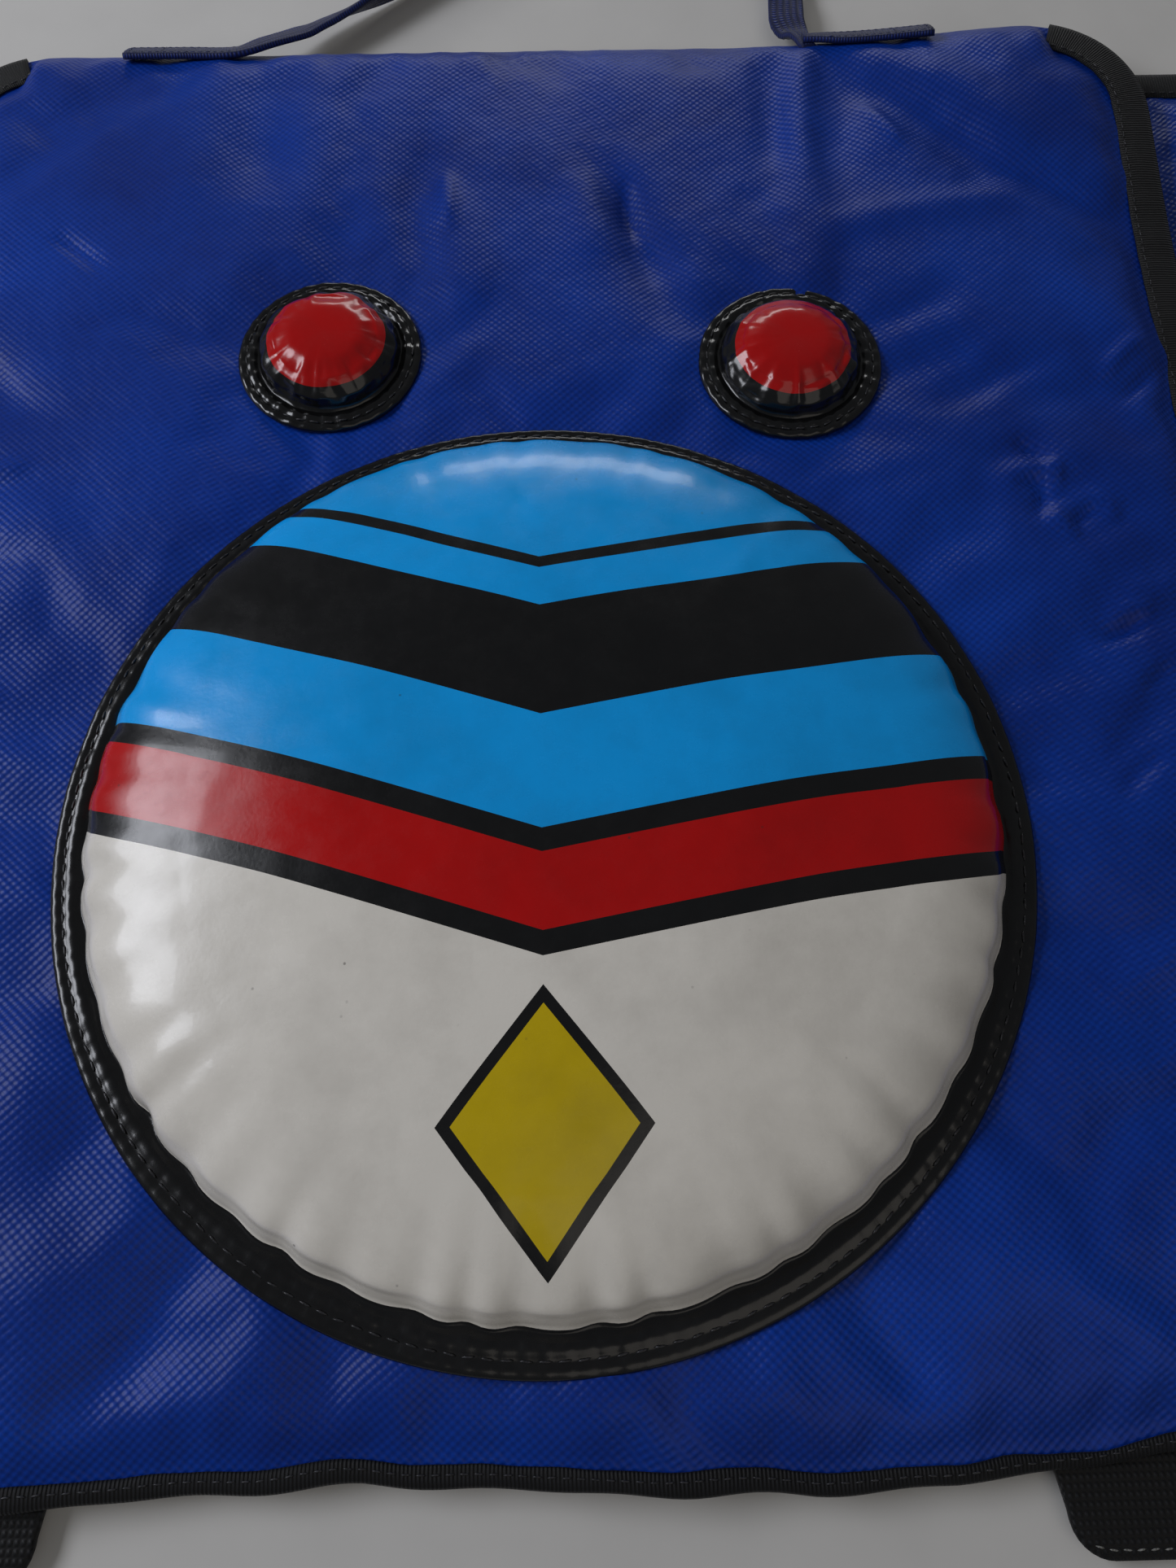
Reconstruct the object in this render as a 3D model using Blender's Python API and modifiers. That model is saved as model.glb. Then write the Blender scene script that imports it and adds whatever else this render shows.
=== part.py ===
"""Chest protector: a padded front panel with a round puffed target, two side wings,
a neck strap and two waist straps.

It lies on its back as it is put down: +Z is away from the wearer's chest, +Y is towards
the neck and +X is the wearer's left. The origin is the middle of the front panel's back
face. All sizes are in metres.
"""

import math

import bmesh
import bpy
from mathutils import Matrix, Vector

MM = 0.001

# ---------------------------------------------------------------- cloth and gaps
FABRIC = 0.8 * MM            # coated woven cloth of the shells and linings
TAPE = 0.7 * MM              # folded binding tape
GAP = 0.3 * MM               # between two solids that touch
FLANGE = 12.0 * MM           # flat sewn edge of a padded panel
TAPE_COVER = 11.4 * MM       # how far the binding reaches in over that edge

# ---------------------------------------------------------------- front panel
PANEL_WIDTH = 404.0 * MM
PANEL_HEIGHT = 434.0 * MM
PANEL_TOP_RADIUS = 40.0 * MM
PANEL_BOTTOM_RADIUS = 30.0 * MM
PANEL_FOAM = 11.0 * MM
PANEL_SLOPE = 15.0 * MM      # width of the pad's sloping edge
FOLD_FLANGE = 2.0 * MM       # the top edge is a fold, with only a lip of sewn edge
FOLD_SLOPE = 10.0 * MM
FOLD_BLEND = 22.0 * MM       # length over which the sewn edge narrows to that lip
SHOULDER_IN = 0.35           # a slope's steep first part, as a share of its width
SHOULDER_UP = 0.6            # and of its height

# ---------------------------------------------------------------- side wings
WING_WIDTH = 120.0 * MM
WING_TOP_DROP = 12.0 * MM    # from the panel's top edge down to the wing's
WING_BOTTOM_RISE = 27.0 * MM
WING_OUTER_RADIUS = 30.0 * MM
WING_INNER_RADIUS = 5.0 * MM
WING_FOAM = 6.0 * MM
WING_SLOPE = 10.0 * MM
WING_HINGE_INSET = 6.0 * MM  # the seam line lies this far inside the panel's side edge
WING_CLEARANCE = 1.5 * MM    # from that line to the wing's own edge

# ---------------------------------------------------------------- targets
TARGET_RADIUS = 125.0 * MM
TARGET_RIM = 11.0 * MM
TARGET_HEIGHT = 24.0 * MM
TARGET_Y = -71.0 * MM
SMALL_TARGET_RADIUS = 27.5 * MM
SMALL_TARGET_RIM = 6.5 * MM
SMALL_TARGET_HEIGHT = 10.5 * MM
SMALL_TARGET_SPREAD = 69.0 * MM   # sideways from the middle
SMALL_TARGET_RISE = 151.0 * MM    # above the big target's middle
TARGET_TURN = math.radians(-2.3)  # the targets are sewn on a little off square
VINYL = 0.8 * MM
BACKING = 1.2 * MM

# ---------------------------------------------------------------- straps
NECK_STRAP_WIDTH = 12.4 * MM
NECK_STRAP_THICKNESS = 2.4 * MM
NECK_HINGE_DROP = 12.0 * MM       # from the top edge out to where the strap bends
WAIST_STRAP_LENGTH = 200.0 * MM
WAIST_STRAP_WIDTH = 28.0 * MM
WAIST_STRAP_THICKNESS = 2.4 * MM
WAIST_STRAP_CORNER = 9.0 * MM
WAIST_STRAP_ROOT_X = 113.0 * MM
WAIST_STRAP_SHOWS = 18.0 * MM     # how much of it shows below the panel's bottom edge
WAIST_STRAP_SEWN = 20.0 * MM      # the length that stays up against the panel's edge
WAIST_STRAP_DROP = 30.0 * MM      # the length over which it comes down to the table
PATCH_LENGTH = 60.0 * MM
PATCH_THICKNESS = 1.2 * MM
PATCH_MARGIN = 3.0 * MM
PATCH_END_MARGIN = 8.0 * MM
TOP_TAPE_SHOWS = 1.5 * MM         # how much of the lining's tape shows behind the fold

# ---------------------------------------------------------------- worked out from those
HALF_WIDTH = PANEL_WIDTH / 2
HALF_HEIGHT = PANEL_HEIGHT / 2
TAPE_IN = FABRIC + 1.5 * GAP      # from a seam's middle plane to the tape's inner face
TAPE_OUT = TAPE_IN + TAPE
PANEL_INSIDE = FABRIC + PANEL_FOAM + 2 * GAP
PANEL_FACE = PANEL_INSIDE + FABRIC
WING_INSIDE = FABRIC + WING_FOAM + 2 * GAP
WING_SEAM = TAPE_OUT + 0.8 * MM
PANEL_SEAM = WING_SEAM + 2 * TAPE_OUT + GAP
HINGE_X = HALF_WIDTH - WING_HINGE_INSET
NECK_HINGE_Y = HALF_HEIGHT + NECK_HINGE_DROP
TARGET_BASE = PANEL_FACE + GAP

# The neck strap's sewn ends lie on the fold's shoulder, and lean with the slopes there.
FOLD_RISE = PANEL_INSIDE - PANEL_SEAM - GAP / 2
SHOULDER_LEAN = 0.5 * (
    math.atan2(SHOULDER_UP * FOLD_RISE, SHOULDER_IN * FOLD_SLOPE)
    + math.atan2((1 - SHOULDER_UP) * FOLD_RISE, (1 - SHOULDER_IN) * FOLD_SLOPE)
)
NECK_TAB_LIFT = 1.05 * FABRIC + GAP + NECK_STRAP_THICKNESS / 2
NECK_TAB_Y = (
    HALF_HEIGHT - FOLD_FLANGE - SHOULDER_IN * FOLD_SLOPE + NECK_TAB_LIFT * math.sin(SHOULDER_LEAN)
)
NECK_TAB_Z = (
    PANEL_SEAM + GAP / 2 + SHOULDER_UP * FOLD_RISE + NECK_TAB_LIFT * math.cos(SHOULDER_LEAN)
)

# The neck strap's ends: name, the sewn end's two x positions, where the strap crosses its
# bend line and the direction it leaves in.
NECK_ENDS = (
    ("neck_strap_end_right", -139 * MM, -102 * MM, -79 * MM, math.radians(38)),
    ("neck_strap_end_left", 134 * MM, 96 * MM, 89 * MM, math.radians(104)),
)
# The loop's course on the table between those two ends.
NECK_LOOP = [
    (x * MM, HALF_HEIGHT + rise * MM)
    for x, rise in (
        (-47, 37), (-17, 62), (9, 91), (27, 122), (43, 150), (66, 172), (93, 181), (117, 172),
        (130, 147), (126, 113), (110, 80), (92, 47),
    )
]

CORNER_STEPS = 6
SMALLEST_RADIUS = 1.2 * MM
SHARP_ANGLE = math.radians(30)
TARGET_STEPS = 48
SMALL_TARGET_STEPS = 24
DOME_STEPS = 7
SMALL_DOME_STEPS = 5


# ---------------------------------------------------------------- scene and materials
def empty_scene():
    """Removes what the start-up file holds and returns the collections to build in."""
    for old in list(bpy.data.objects):
        bpy.data.objects.remove(old)
    parts = bpy.data.collections.new("chest_protector")
    guides = bpy.data.collections.new("guides")
    for collection in (parts, guides):
        bpy.context.scene.collection.children.link(collection)
    return parts, guides


PARTS, GUIDES = empty_scene()


def linear(hex_colour):
    """An sRGB hex colour as linear RGBA."""
    channels = [int(hex_colour[i:i + 2], 16) / 255 for i in (1, 3, 5)]
    return [c / 12.92 if c <= 0.04045 else ((c + 0.055) / 1.055) ** 2.4 for c in channels] + [1.0]


def finish(name, hex_colour, roughness):
    """A Principled BSDF material of one colour and roughness."""
    material = bpy.data.materials.new(name)
    material.use_nodes = True
    shader = material.node_tree.nodes["Principled BSDF"]
    shader.inputs["Base Color"].default_value = linear(hex_colour)
    shader.inputs["Roughness"].default_value = roughness
    shader.inputs["Metallic"].default_value = 0.0
    return material


BLUE_NYLON = finish("blue_nylon", "#1733A0", 0.45)
BLACK_LINING = finish("black_lining", "#17171A", 0.7)
BLACK_TAPE = finish("black_tape", "#1B1B1C", 0.65)
WHITE_FOAM = finish("white_foam", "#D9D6CC", 0.9)
TAN_FOAM = finish("tan_foam", "#B9A983", 0.9)
BLACK_VINYL = finish("black_vinyl", "#141414", 0.25)
PRINTED_VINYL = finish("printed_vinyl", "#0E86CF", 0.15)
RED_VINYL = finish("red_vinyl", "#B00A12", 0.15)
BLUE_STRAP = finish("blue_strap", "#182F86", 0.6)
BLACK_WEBBING = finish("black_webbing", "#141415", 0.7)
HOOK_NYLON = finish("hook_nylon", "#202022", 0.8)
LOOP_NYLON = finish("loop_nylon", "#242427", 0.95)


# ---------------------------------------------------------------- outlines and lofts
def rounded_outline(left, right, bottom, top, radii, top_stops=()):
    """The outline of a rounded rectangle as a list of (point, outward direction, radius,
    corner signs). It starts at the top-left corner and runs down the left side, along the
    bottom, up the right side and back along the top. radii are top-left, bottom-left,
    bottom-right and top-right, and top_stops are x positions on the top edge, from right
    to left."""
    corners = ((-1, 1, 90), (-1, -1, 180), (1, -1, 270), (1, 1, 0))
    outline = []
    for (side, rise, start), radius in zip(corners, radii):
        centre = Vector((
            right - radius if side > 0 else left + radius,
            top - radius if rise > 0 else bottom + radius,
            0,
        ))
        for step in range(CORNER_STEPS + 1):
            angle = math.radians(start + 90 * step / CORNER_STEPS)
            outward = Vector((math.cos(angle), math.sin(angle), 0))
            outline.append((centre + radius * outward, outward, radius, Vector((side, rise, 0))))
    for x in top_stops:
        outline.append((Vector((x, top, 0)), Vector((0, 1, 0)), None, None))
    return outline


def ring(outline, inset, height):
    """The outline moved in by inset and up by height. inset may depend on the point. A
    corner keeps a small radius where the inset is larger than its own."""
    points = []
    for point, outward, radius, signs in outline:
        distance = inset(point) if callable(inset) else inset
        moved = Vector(point)
        if radius is None:
            moved -= outward * distance
        else:
            shrunk = min(distance, radius - SMALLEST_RADIUS)
            moved -= outward * shrunk + signs * (distance - shrunk)
        moved.z += height
        points.append(moved)
    return points


def loft(name, rings, close_first, material):
    """A surface that runs through closed rings, with a flat face over the last one, and
    over the first one too if close_first is set."""
    mesh = bpy.data.meshes.new(name)
    build = bmesh.new()
    rows = [[build.verts.new(point) for point in points] for points in rings]
    count = len(rows[0])
    for lower, upper in zip(rows, rows[1:]):
        for i in range(count):
            j = (i + 1) % count
            build.faces.new((lower[i], lower[j], upper[j], upper[i]))
    build.faces.new(rows[-1])
    if close_first:
        build.faces.new(list(reversed(rows[0])))
    build.to_mesh(mesh)
    build.free()
    mesh.shade_smooth()
    mesh.set_sharp_from_angle(angle=SHARP_ANGLE)
    return place(name, mesh, material)


def place(name, data, material):
    """Links a new object of that mesh or curve, with its material."""
    piece = bpy.data.objects.new(name, data)
    data.materials.append(material)
    PARTS.objects.link(piece)
    return piece


def thicken(piece, thickness, side):
    """Gives an open surface a wall. side is 1 to grow along its normals and -1 against."""
    wall = piece.modifiers.new("wall", "SOLIDIFY")
    wall.thickness = thickness
    wall.offset = side
    wall.use_even_offset = True
    return piece


# ---------------------------------------------------------------- padded panels
def padded_panel(prefix, outline, seam, inside, flange, slope, names):
    """The shell, foam and lining of one padded panel, whose sewn edge lies at height seam.
    inside is the height of the shell's inner face. flange and slope may depend on the
    point, as at a folded edge; the lining's are always the plain ones."""
    shell_name, foam_name, lining_name = names
    plain_flange, plain_slope = FLANGE, slope["plain"]
    low = seam + GAP / 2
    shoulder = low + SHOULDER_UP * (inside - low)

    shell = loft(
        prefix + shell_name,
        [
            ring(outline, 0, low),
            ring(outline, flange, low),
            ring(outline, lambda p: flange(p) + SHOULDER_IN * slope["top"](p), shoulder),
            ring(outline, lambda p: flange(p) + slope["top"](p), inside),
        ],
        False,
        BLUE_NYLON,
    )
    thicken(shell, FABRIC, 1)

    lining = loft(
        prefix + lining_name,
        [
            ring(outline, 0, seam - GAP / 2),
            ring(outline, plain_flange, seam - GAP / 2),
            ring(outline, plain_flange + plain_slope, FABRIC),
        ],
        False,
        BLACK_LINING,
    )
    thicken(lining, FABRIC, -1)

    edge = 1.5 * MM
    bottom = FABRIC + GAP
    loft(
        prefix + foam_name,
        [
            ring(outline, plain_flange + plain_slope + edge, bottom),
            ring(outline, plain_flange + edge, seam),
            ring(outline, lambda p: flange(p) + edge, seam + GAP),
            ring(outline, lambda p: flange(p) + SHOULDER_IN * slope["top"](p) + edge, shoulder - GAP),
            ring(outline, lambda p: flange(p) + slope["top"](p) + edge, inside - GAP),
        ],
        True,
        WHITE_FOAM,
    )


def binding(name, path, seam):
    """Tape folded over a sewn edge: a U section carried along the edge's path."""
    section = bpy.data.curves.new(name + "_section", "CURVE")
    section.dimensions = "2D"
    outline = section.splines.new("POLY")
    web, reach = GAP + TAPE, TAPE_COVER
    corners = (
        (-web, -TAPE_OUT), (reach, -TAPE_OUT), (reach, -TAPE_IN), (-GAP, -TAPE_IN),
        (-GAP, TAPE_IN), (reach, TAPE_IN), (reach, TAPE_OUT), (-web, TAPE_OUT),
    )
    outline.points.add(len(corners) - 1)
    for point, (inward, up) in zip(outline.points, corners):
        point.co = (-inward, up, 0, 1)
    outline.use_cyclic_u = True
    guide = bpy.data.objects.new(name + "_section", section)
    guide.hide_render = True
    guide.display_type = "WIRE"
    GUIDES.objects.link(guide)

    curve = bpy.data.curves.new(name, "CURVE")
    curve.dimensions = "3D"
    curve.twist_mode = "Z_UP"
    curve.bevel_mode = "OBJECT"
    curve.bevel_object = guide
    curve.use_fill_caps = True
    spline = curve.splines.new("POLY")
    spline.points.add(len(path) - 1)
    for point, (x, y, _) in zip(spline.points, path):
        point.co = (x, y, seam, 1)
    return place(name, curve, BLACK_TAPE)


def front_panel():
    """The padded front: shell folded over at the top, foam, lining and its tapes."""
    fold_from = HALF_WIDTH - PANEL_TOP_RADIUS
    stops = [fold_from - FOLD_BLEND * share for share in (0.25, 0.5, 0.75, 1.0)]
    outline = rounded_outline(
        -HALF_WIDTH, HALF_WIDTH, -HALF_HEIGHT, HALF_HEIGHT,
        (PANEL_TOP_RADIUS, PANEL_BOTTOM_RADIUS, PANEL_BOTTOM_RADIUS, PANEL_TOP_RADIUS),
        stops + [-x for x in reversed(stops)],
    )

    def folded(point):
        """0 on a sewn edge and 1 along the fold."""
        if point.y < HALF_HEIGHT - GAP:
            return 0.0
        share = min(1.0, max(0.0, (fold_from - abs(point.x)) / FOLD_BLEND))
        return share * share * (3 - 2 * share)

    padded_panel(
        "front_", outline, PANEL_SEAM, PANEL_INSIDE,
        lambda p: FLANGE + (FOLD_FLANGE - FLANGE) * folded(p),
        {
            "plain": PANEL_SLOPE,
            "top": lambda p: PANEL_SLOPE + (FOLD_SLOPE - PANEL_SLOPE) * folded(p),
        },
        ("shell", "foam", "lining"),
    )
    first, last = 2, 4 * (CORNER_STEPS + 1) - 2
    binding("front_binding", ring(outline, 0, 0)[first:last], PANEL_SEAM)

    depth = FLANGE - 2 * MM
    length = 2 * (stops[-1] + FOLD_BLEND / 2)
    box(
        "top_binding",
        (length, depth, TAPE),
        (0, HALF_HEIGHT + TOP_TAPE_SHOWS - depth / 2, PANEL_SEAM - TAPE_IN - TAPE / 2),
        BLACK_TAPE,
    )


def wing(side, name):
    """A side wing. side is 1 on the wearer's left and -1 on the right."""
    inner = HINGE_X + WING_CLEARANCE
    left, right = sorted((side * inner, side * (inner + WING_WIDTH)))
    top, bottom = HALF_HEIGHT - WING_TOP_DROP, -HALF_HEIGHT + WING_BOTTOM_RISE
    round_in, round_out = WING_INNER_RADIUS, WING_OUTER_RADIUS
    radii = (round_in, round_in, round_out, round_out)
    if side < 0:
        radii = (round_out, round_out, round_in, round_in)
    outline = rounded_outline(left, right, bottom, top, radii)

    padded_panel(
        name + "_", outline, WING_SEAM, WING_INSIDE,
        lambda p: FLANGE,
        {"plain": WING_SLOPE, "top": lambda p: WING_SLOPE},
        ("shell", "foam", "lining"),
    )
    points = ring(outline, 0, 0)
    per_corner = CORNER_STEPS + 1
    if side > 0:
        path = points[2 * per_corner - 1:] + [points[0]]
    else:
        path = points[4 * per_corner - 1:] + points[:2 * per_corner + 1]
    binding(name + "_binding", path, WING_SEAM)


# ---------------------------------------------------------------- targets
def turned(name, profile, steps, material):
    """A surface turned from a profile of (radius, height) points, outermost first."""
    mesh = bpy.data.meshes.new(name)
    build = bmesh.new()
    points = [build.verts.new((radius, 0, height)) for radius, height in profile]
    for a, b in zip(points, points[1:]):
        build.edges.new((a, b))
    build.to_mesh(mesh)
    build.free()
    piece = place(name, mesh, material)
    spin = piece.modifiers.new("turn", "SCREW")
    spin.steps = spin.render_steps = steps
    spin.use_merge_vertices = True
    spin.merge_threshold = 0.01 * MM
    return piece


def dome_profile(radius, rim, height, steps):
    """The puffed cover's inner face from the crown out: a low crown, steep sides and a
    flat rim."""
    inside = radius - rim
    profile = [(0.0, height)]
    for step in range(1, steps + 1):
        share = 1 - (1 - step / steps) ** 1.6
        profile.append((inside * share, height * (1 - share ** 5) ** 0.62))
    profile.append((radius, 0.0))
    return profile


def target(prefix, x, y, radius, rim, height, steps, dome_steps, cover_material):
    """A round puffed target: backing, foam and printed cover."""
    middle = Vector((x, y, TARGET_BASE))
    backing = turned(
        prefix + "_backing",
        [(0, BACKING), (radius, BACKING), (radius, 0), (0, 0)],
        steps, BLACK_VINYL,
    )
    backing.location = middle

    profile = dome_profile(radius, rim, height, dome_steps)
    cover = turned(prefix + "_cover", profile, steps, cover_material)
    thicken(cover, VINYL, 1)
    cover.location = middle + Vector((0, 0, BACKING + GAP))

    slack = 1.2 * MM
    scale = 1 - slack / (radius - rim)
    crown = [(r * scale, z - GAP) for r, z in profile[:-2]]
    foot = ((radius - rim) * scale, GAP)
    foam = turned(prefix + "_foam", crown + [foot, (0.0, GAP)], steps, TAN_FOAM)
    foam.location = middle + Vector((0, 0, BACKING))


# ---------------------------------------------------------------- straps and patches
def box(name, size, centre, material, bevel=0.0):
    """A box of that size, with rounded edges if bevel is given."""
    bpy.ops.mesh.primitive_cube_add(size=1)
    piece = bpy.context.object
    piece.name = name
    piece.data.name = name
    piece.data.transform(Matrix.Diagonal((*size, 1)))
    piece.location = centre
    piece.data.materials.append(material)
    for collection in list(piece.users_collection):
        collection.objects.unlink(piece)
    PARTS.objects.link(piece)
    if bevel:
        edge = piece.modifiers.new("edge", "BEVEL")
        edge.width = bevel
        edge.segments = 2
    return piece


def smooth_path(points, tilts, per_span):
    """(point, tilt) stations along a smooth curve through the given points. Its direction
    at each of them is that from the point before to the point after. The first and last
    spans stay straight."""
    points = [Vector(point) for point in points]
    last = len(points) - 1
    chords = [(q - p).length for p, q in zip(points, points[1:])]
    headings = [
        (points[min(last, i + 1)] - points[max(0, i - 1)])
        / sum(chords[max(0, i - 1):min(last, i + 1)])
        for i in range(last + 1)
    ]
    stations = [(points[0], tilts[0])]
    for i in range(1, last - 1):
        for step in range(per_span):
            t = step / per_span
            smooth = t * t * (3 - 2 * t)
            leave, arrive = t * (1 - t) ** 2 * chords[i], t * t * (t - 1) * chords[i]
            along = points[i].lerp(points[i + 1], smooth)
            along += headings[i] * leave + headings[i + 1] * arrive
            stations.append((along, tilts[i] + (tilts[i + 1] - tilts[i]) * t))
    return stations + [(points[-2], tilts[-2]), (points[-1], tilts[-1])]


def ribbon(name, points, tilts, per_span, material):
    """A flat strap along a path. At tilt 0 it stands on its edge."""
    curve = bpy.data.curves.new(name, "CURVE")
    curve.dimensions = "3D"
    curve.twist_mode = "Z_UP"
    curve.bevel_depth = NECK_STRAP_THICKNESS / 2
    curve.bevel_resolution = 1
    curve.extrude = (NECK_STRAP_WIDTH - NECK_STRAP_THICKNESS) / 2
    curve.use_fill_caps = True
    stations = smooth_path(points, tilts, per_span)
    spline = curve.splines.new("POLY")
    spline.points.add(len(stations) - 1)
    for point, (co, tilt) in zip(spline.points, stations):
        point.co = (*co, 1)
        point.tilt = tilt
    return place(name, curve, material)


def neck_strap():
    """One narrow strap, sewn to the fold at both ends. The sewn ends stay with the panel
    and the loop swings about the line where it leaves them."""
    flat = math.pi / 2 - SHOULDER_LEAN
    lie = NECK_STRAP_WIDTH / 2
    straight = 4 * MM
    ends = []
    for name, outer, inner, crossing, heading in NECK_ENDS:
        away = Vector((math.cos(heading), math.sin(heading), 0))
        middle = Vector((crossing, NECK_HINGE_Y, lie))
        side = 1 if outer > 0 else -1
        lead = [
            (outer, NECK_TAB_Y, NECK_TAB_Z),
            (inner, NECK_TAB_Y, NECK_TAB_Z),
            (0.7 * inner + 0.3 * crossing, HALF_HEIGHT + 3 * MM, NECK_TAB_Z),
            middle - away * straight,
            middle - away * GAP / 2,
        ]
        lying = math.pi / 2
        tilts = [-side * tilt for tilt in (flat, flat, 0.5 * (flat + lying), lying, lying)]
        ribbon(name, lead, tilts, 3, BLUE_STRAP)
        ends.append([middle + away * GAP / 2, middle + away * straight])

    route = ends[0] + [(x, y, lie) for x, y in NECK_LOOP] + ends[1][::-1]
    rising = [lying, lying, 0.6 * lying, 0.2 * lying]
    tilts = rising + [0] * (len(route) - 2 * len(rising)) + rising[::-1]
    ribbon("neck_strap", route, tilts, 3, BLUE_STRAP)


def waist_strap(side, name, patch_name, patch_side, patch_material):
    """A flat strap that runs out from under the panel's bottom edge, with a patch near its
    free end. patch_side is 1 for a patch on the strap's front and -1 for one on its back."""
    bottom = -HALF_HEIGHT - WAIST_STRAP_SHOWS
    top = bottom + WAIST_STRAP_WIDTH
    half = WAIST_STRAP_THICKNESS / 2
    patch_room = PATCH_THICKNESS + GAP if patch_side < 0 else 0.0
    root_z = PANEL_SEAM - TAPE_OUT - GAP - half
    rest_z = patch_room + half
    corner = WAIST_STRAP_CORNER
    cuts = [corner * (1 - math.cos(math.radians(angle))) for angle in (0, 20, 42, 66, 90)]
    distances = cuts + [
        WAIST_STRAP_SEWN + WAIST_STRAP_DROP * step / 4 for step in range(5)
    ] + [WAIST_STRAP_LENGTH - cut for cut in reversed(cuts)]

    mesh = bpy.data.meshes.new(name)
    build = bmesh.new()
    rows = []
    for distance in distances:
        near_end = max(0.0, corner - min(distance, WAIST_STRAP_LENGTH - distance))
        narrowed = corner - math.sqrt(max(0.0, corner * corner - near_end * near_end))
        share = min(1.0, max(0.0, (distance - WAIST_STRAP_SEWN) / WAIST_STRAP_DROP))
        z = root_z + (rest_z - root_z) * share * share * (3 - 2 * share)
        x = side * (WAIST_STRAP_ROOT_X + distance)
        rows.append((
            build.verts.new((x, bottom + narrowed, z)),
            build.verts.new((x, top - narrowed, z)),
        ))
    for (a, b), (c, d) in zip(rows, rows[1:]):
        build.faces.new((a, c, d, b))
    build.to_mesh(mesh)
    build.free()
    thicken(place(name, mesh, BLACK_WEBBING), WAIST_STRAP_THICKNESS, 0)

    patch_x = side * (
        WAIST_STRAP_ROOT_X + WAIST_STRAP_LENGTH - PATCH_END_MARGIN - PATCH_LENGTH / 2
    )
    patch_z = rest_z + patch_side * (half + GAP + PATCH_THICKNESS / 2)
    box(
        patch_name,
        (PATCH_LENGTH, WAIST_STRAP_WIDTH - 2 * PATCH_MARGIN, PATCH_THICKNESS),
        (patch_x, (bottom + top) / 2, patch_z),
        patch_material,
        0.3 * MM,
    )


# ---------------------------------------------------------------- the whole protector
def build():
    front_panel()
    wing(1, "wing_left")
    wing(-1, "wing_right")
    target(
        "target", 0, TARGET_Y, TARGET_RADIUS, TARGET_RIM, TARGET_HEIGHT,
        TARGET_STEPS, DOME_STEPS, PRINTED_VINYL,
    )
    for side, name in ((1, "small_target_left"), (-1, "small_target_right")):
        offset = Matrix.Rotation(TARGET_TURN, 3, "Z") @ Vector(
            (side * SMALL_TARGET_SPREAD, SMALL_TARGET_RISE, 0)
        )
        target(
            name, offset.x, TARGET_Y + offset.y,
            SMALL_TARGET_RADIUS, SMALL_TARGET_RIM, SMALL_TARGET_HEIGHT,
            SMALL_TARGET_STEPS, SMALL_DOME_STEPS, RED_VINYL,
        )
    neck_strap()
    waist_strap(1, "waist_strap_left", "hook_patch", -1, HOOK_NYLON)
    waist_strap(-1, "waist_strap_right", "loop_patch", 1, LOOP_NYLON)


build()
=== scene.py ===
"""Chest protector, visual model: a padded blue nylon front panel with a puffed printed
vinyl target and two small ones, folding side wings, waist straps and a neck strap.

Every size in the tables below is in millimetres, in the CAD model's frame.
"""

import math
from collections import namedtuple

import bmesh
import bpy
import numpy as np
from mathutils import Matrix, Vector, noise
from mathutils.bvhtree import BVHTree


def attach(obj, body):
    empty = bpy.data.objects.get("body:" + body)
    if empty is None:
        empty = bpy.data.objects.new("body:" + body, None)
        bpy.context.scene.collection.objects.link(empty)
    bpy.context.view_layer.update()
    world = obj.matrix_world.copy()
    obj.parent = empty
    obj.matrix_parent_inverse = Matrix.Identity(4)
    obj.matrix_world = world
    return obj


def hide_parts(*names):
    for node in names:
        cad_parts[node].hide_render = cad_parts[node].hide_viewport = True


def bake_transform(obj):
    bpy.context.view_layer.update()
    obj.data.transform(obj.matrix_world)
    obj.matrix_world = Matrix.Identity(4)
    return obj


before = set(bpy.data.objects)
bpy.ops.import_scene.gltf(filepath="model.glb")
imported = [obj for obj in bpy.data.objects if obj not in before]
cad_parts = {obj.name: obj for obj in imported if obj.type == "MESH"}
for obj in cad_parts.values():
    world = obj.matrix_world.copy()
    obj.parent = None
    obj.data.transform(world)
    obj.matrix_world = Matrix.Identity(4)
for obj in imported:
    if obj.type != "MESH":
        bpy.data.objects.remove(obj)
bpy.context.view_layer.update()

MM = 0.001

# ---------------------------------------------------------------- sizes of the real thing
PANEL = (-202.0, 202.0, -217.0, 217.0)      # left, right, bottom, top
PANEL_RADII = (30.0, 30.0, 40.0, 40.0)      # bottom left, bottom right, top right, top left
SEAM_Z = 7.5                # the front panel's sewn edge
FACE_Z = 13.1               # its padded face
BACK_Z = 0.95               # its padded back
LINING_SEAM_Z, LINING_Z = 6.1, 0.05
# the flat border that the tape covers, on each edge, and the pad's slope beside it
SIDE_FLANGE, BOTTOM_FLANGE, FOLD_FLANGE = 12.0, 4.6, 1.0
SLOPE, FOLD_SLOPE = 15.0, 12.0
FOLD_END = 173.0            # where the top fold meets the bound corners

WING_X = (197.8, 317.5)
WING_Y = (-190.0, 205.0)
WING_SEAM_Z, WING_FACE_Z, WING_BACK_Z = 3.0, 8.2, 0.95
WING_LINING_SEAM_Z = 1.75
WING_FLANGE, WING_SLOPE = 11.0, 10.0
HINGE_X = 196.0             # the fold line between panel and wing
WING_REACH = 10.6           # how far in a wing's tape covers
COVER_GRID = 4.4            # how far apart a padded cover's points lie
LINING_GRID = 6.0

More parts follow.
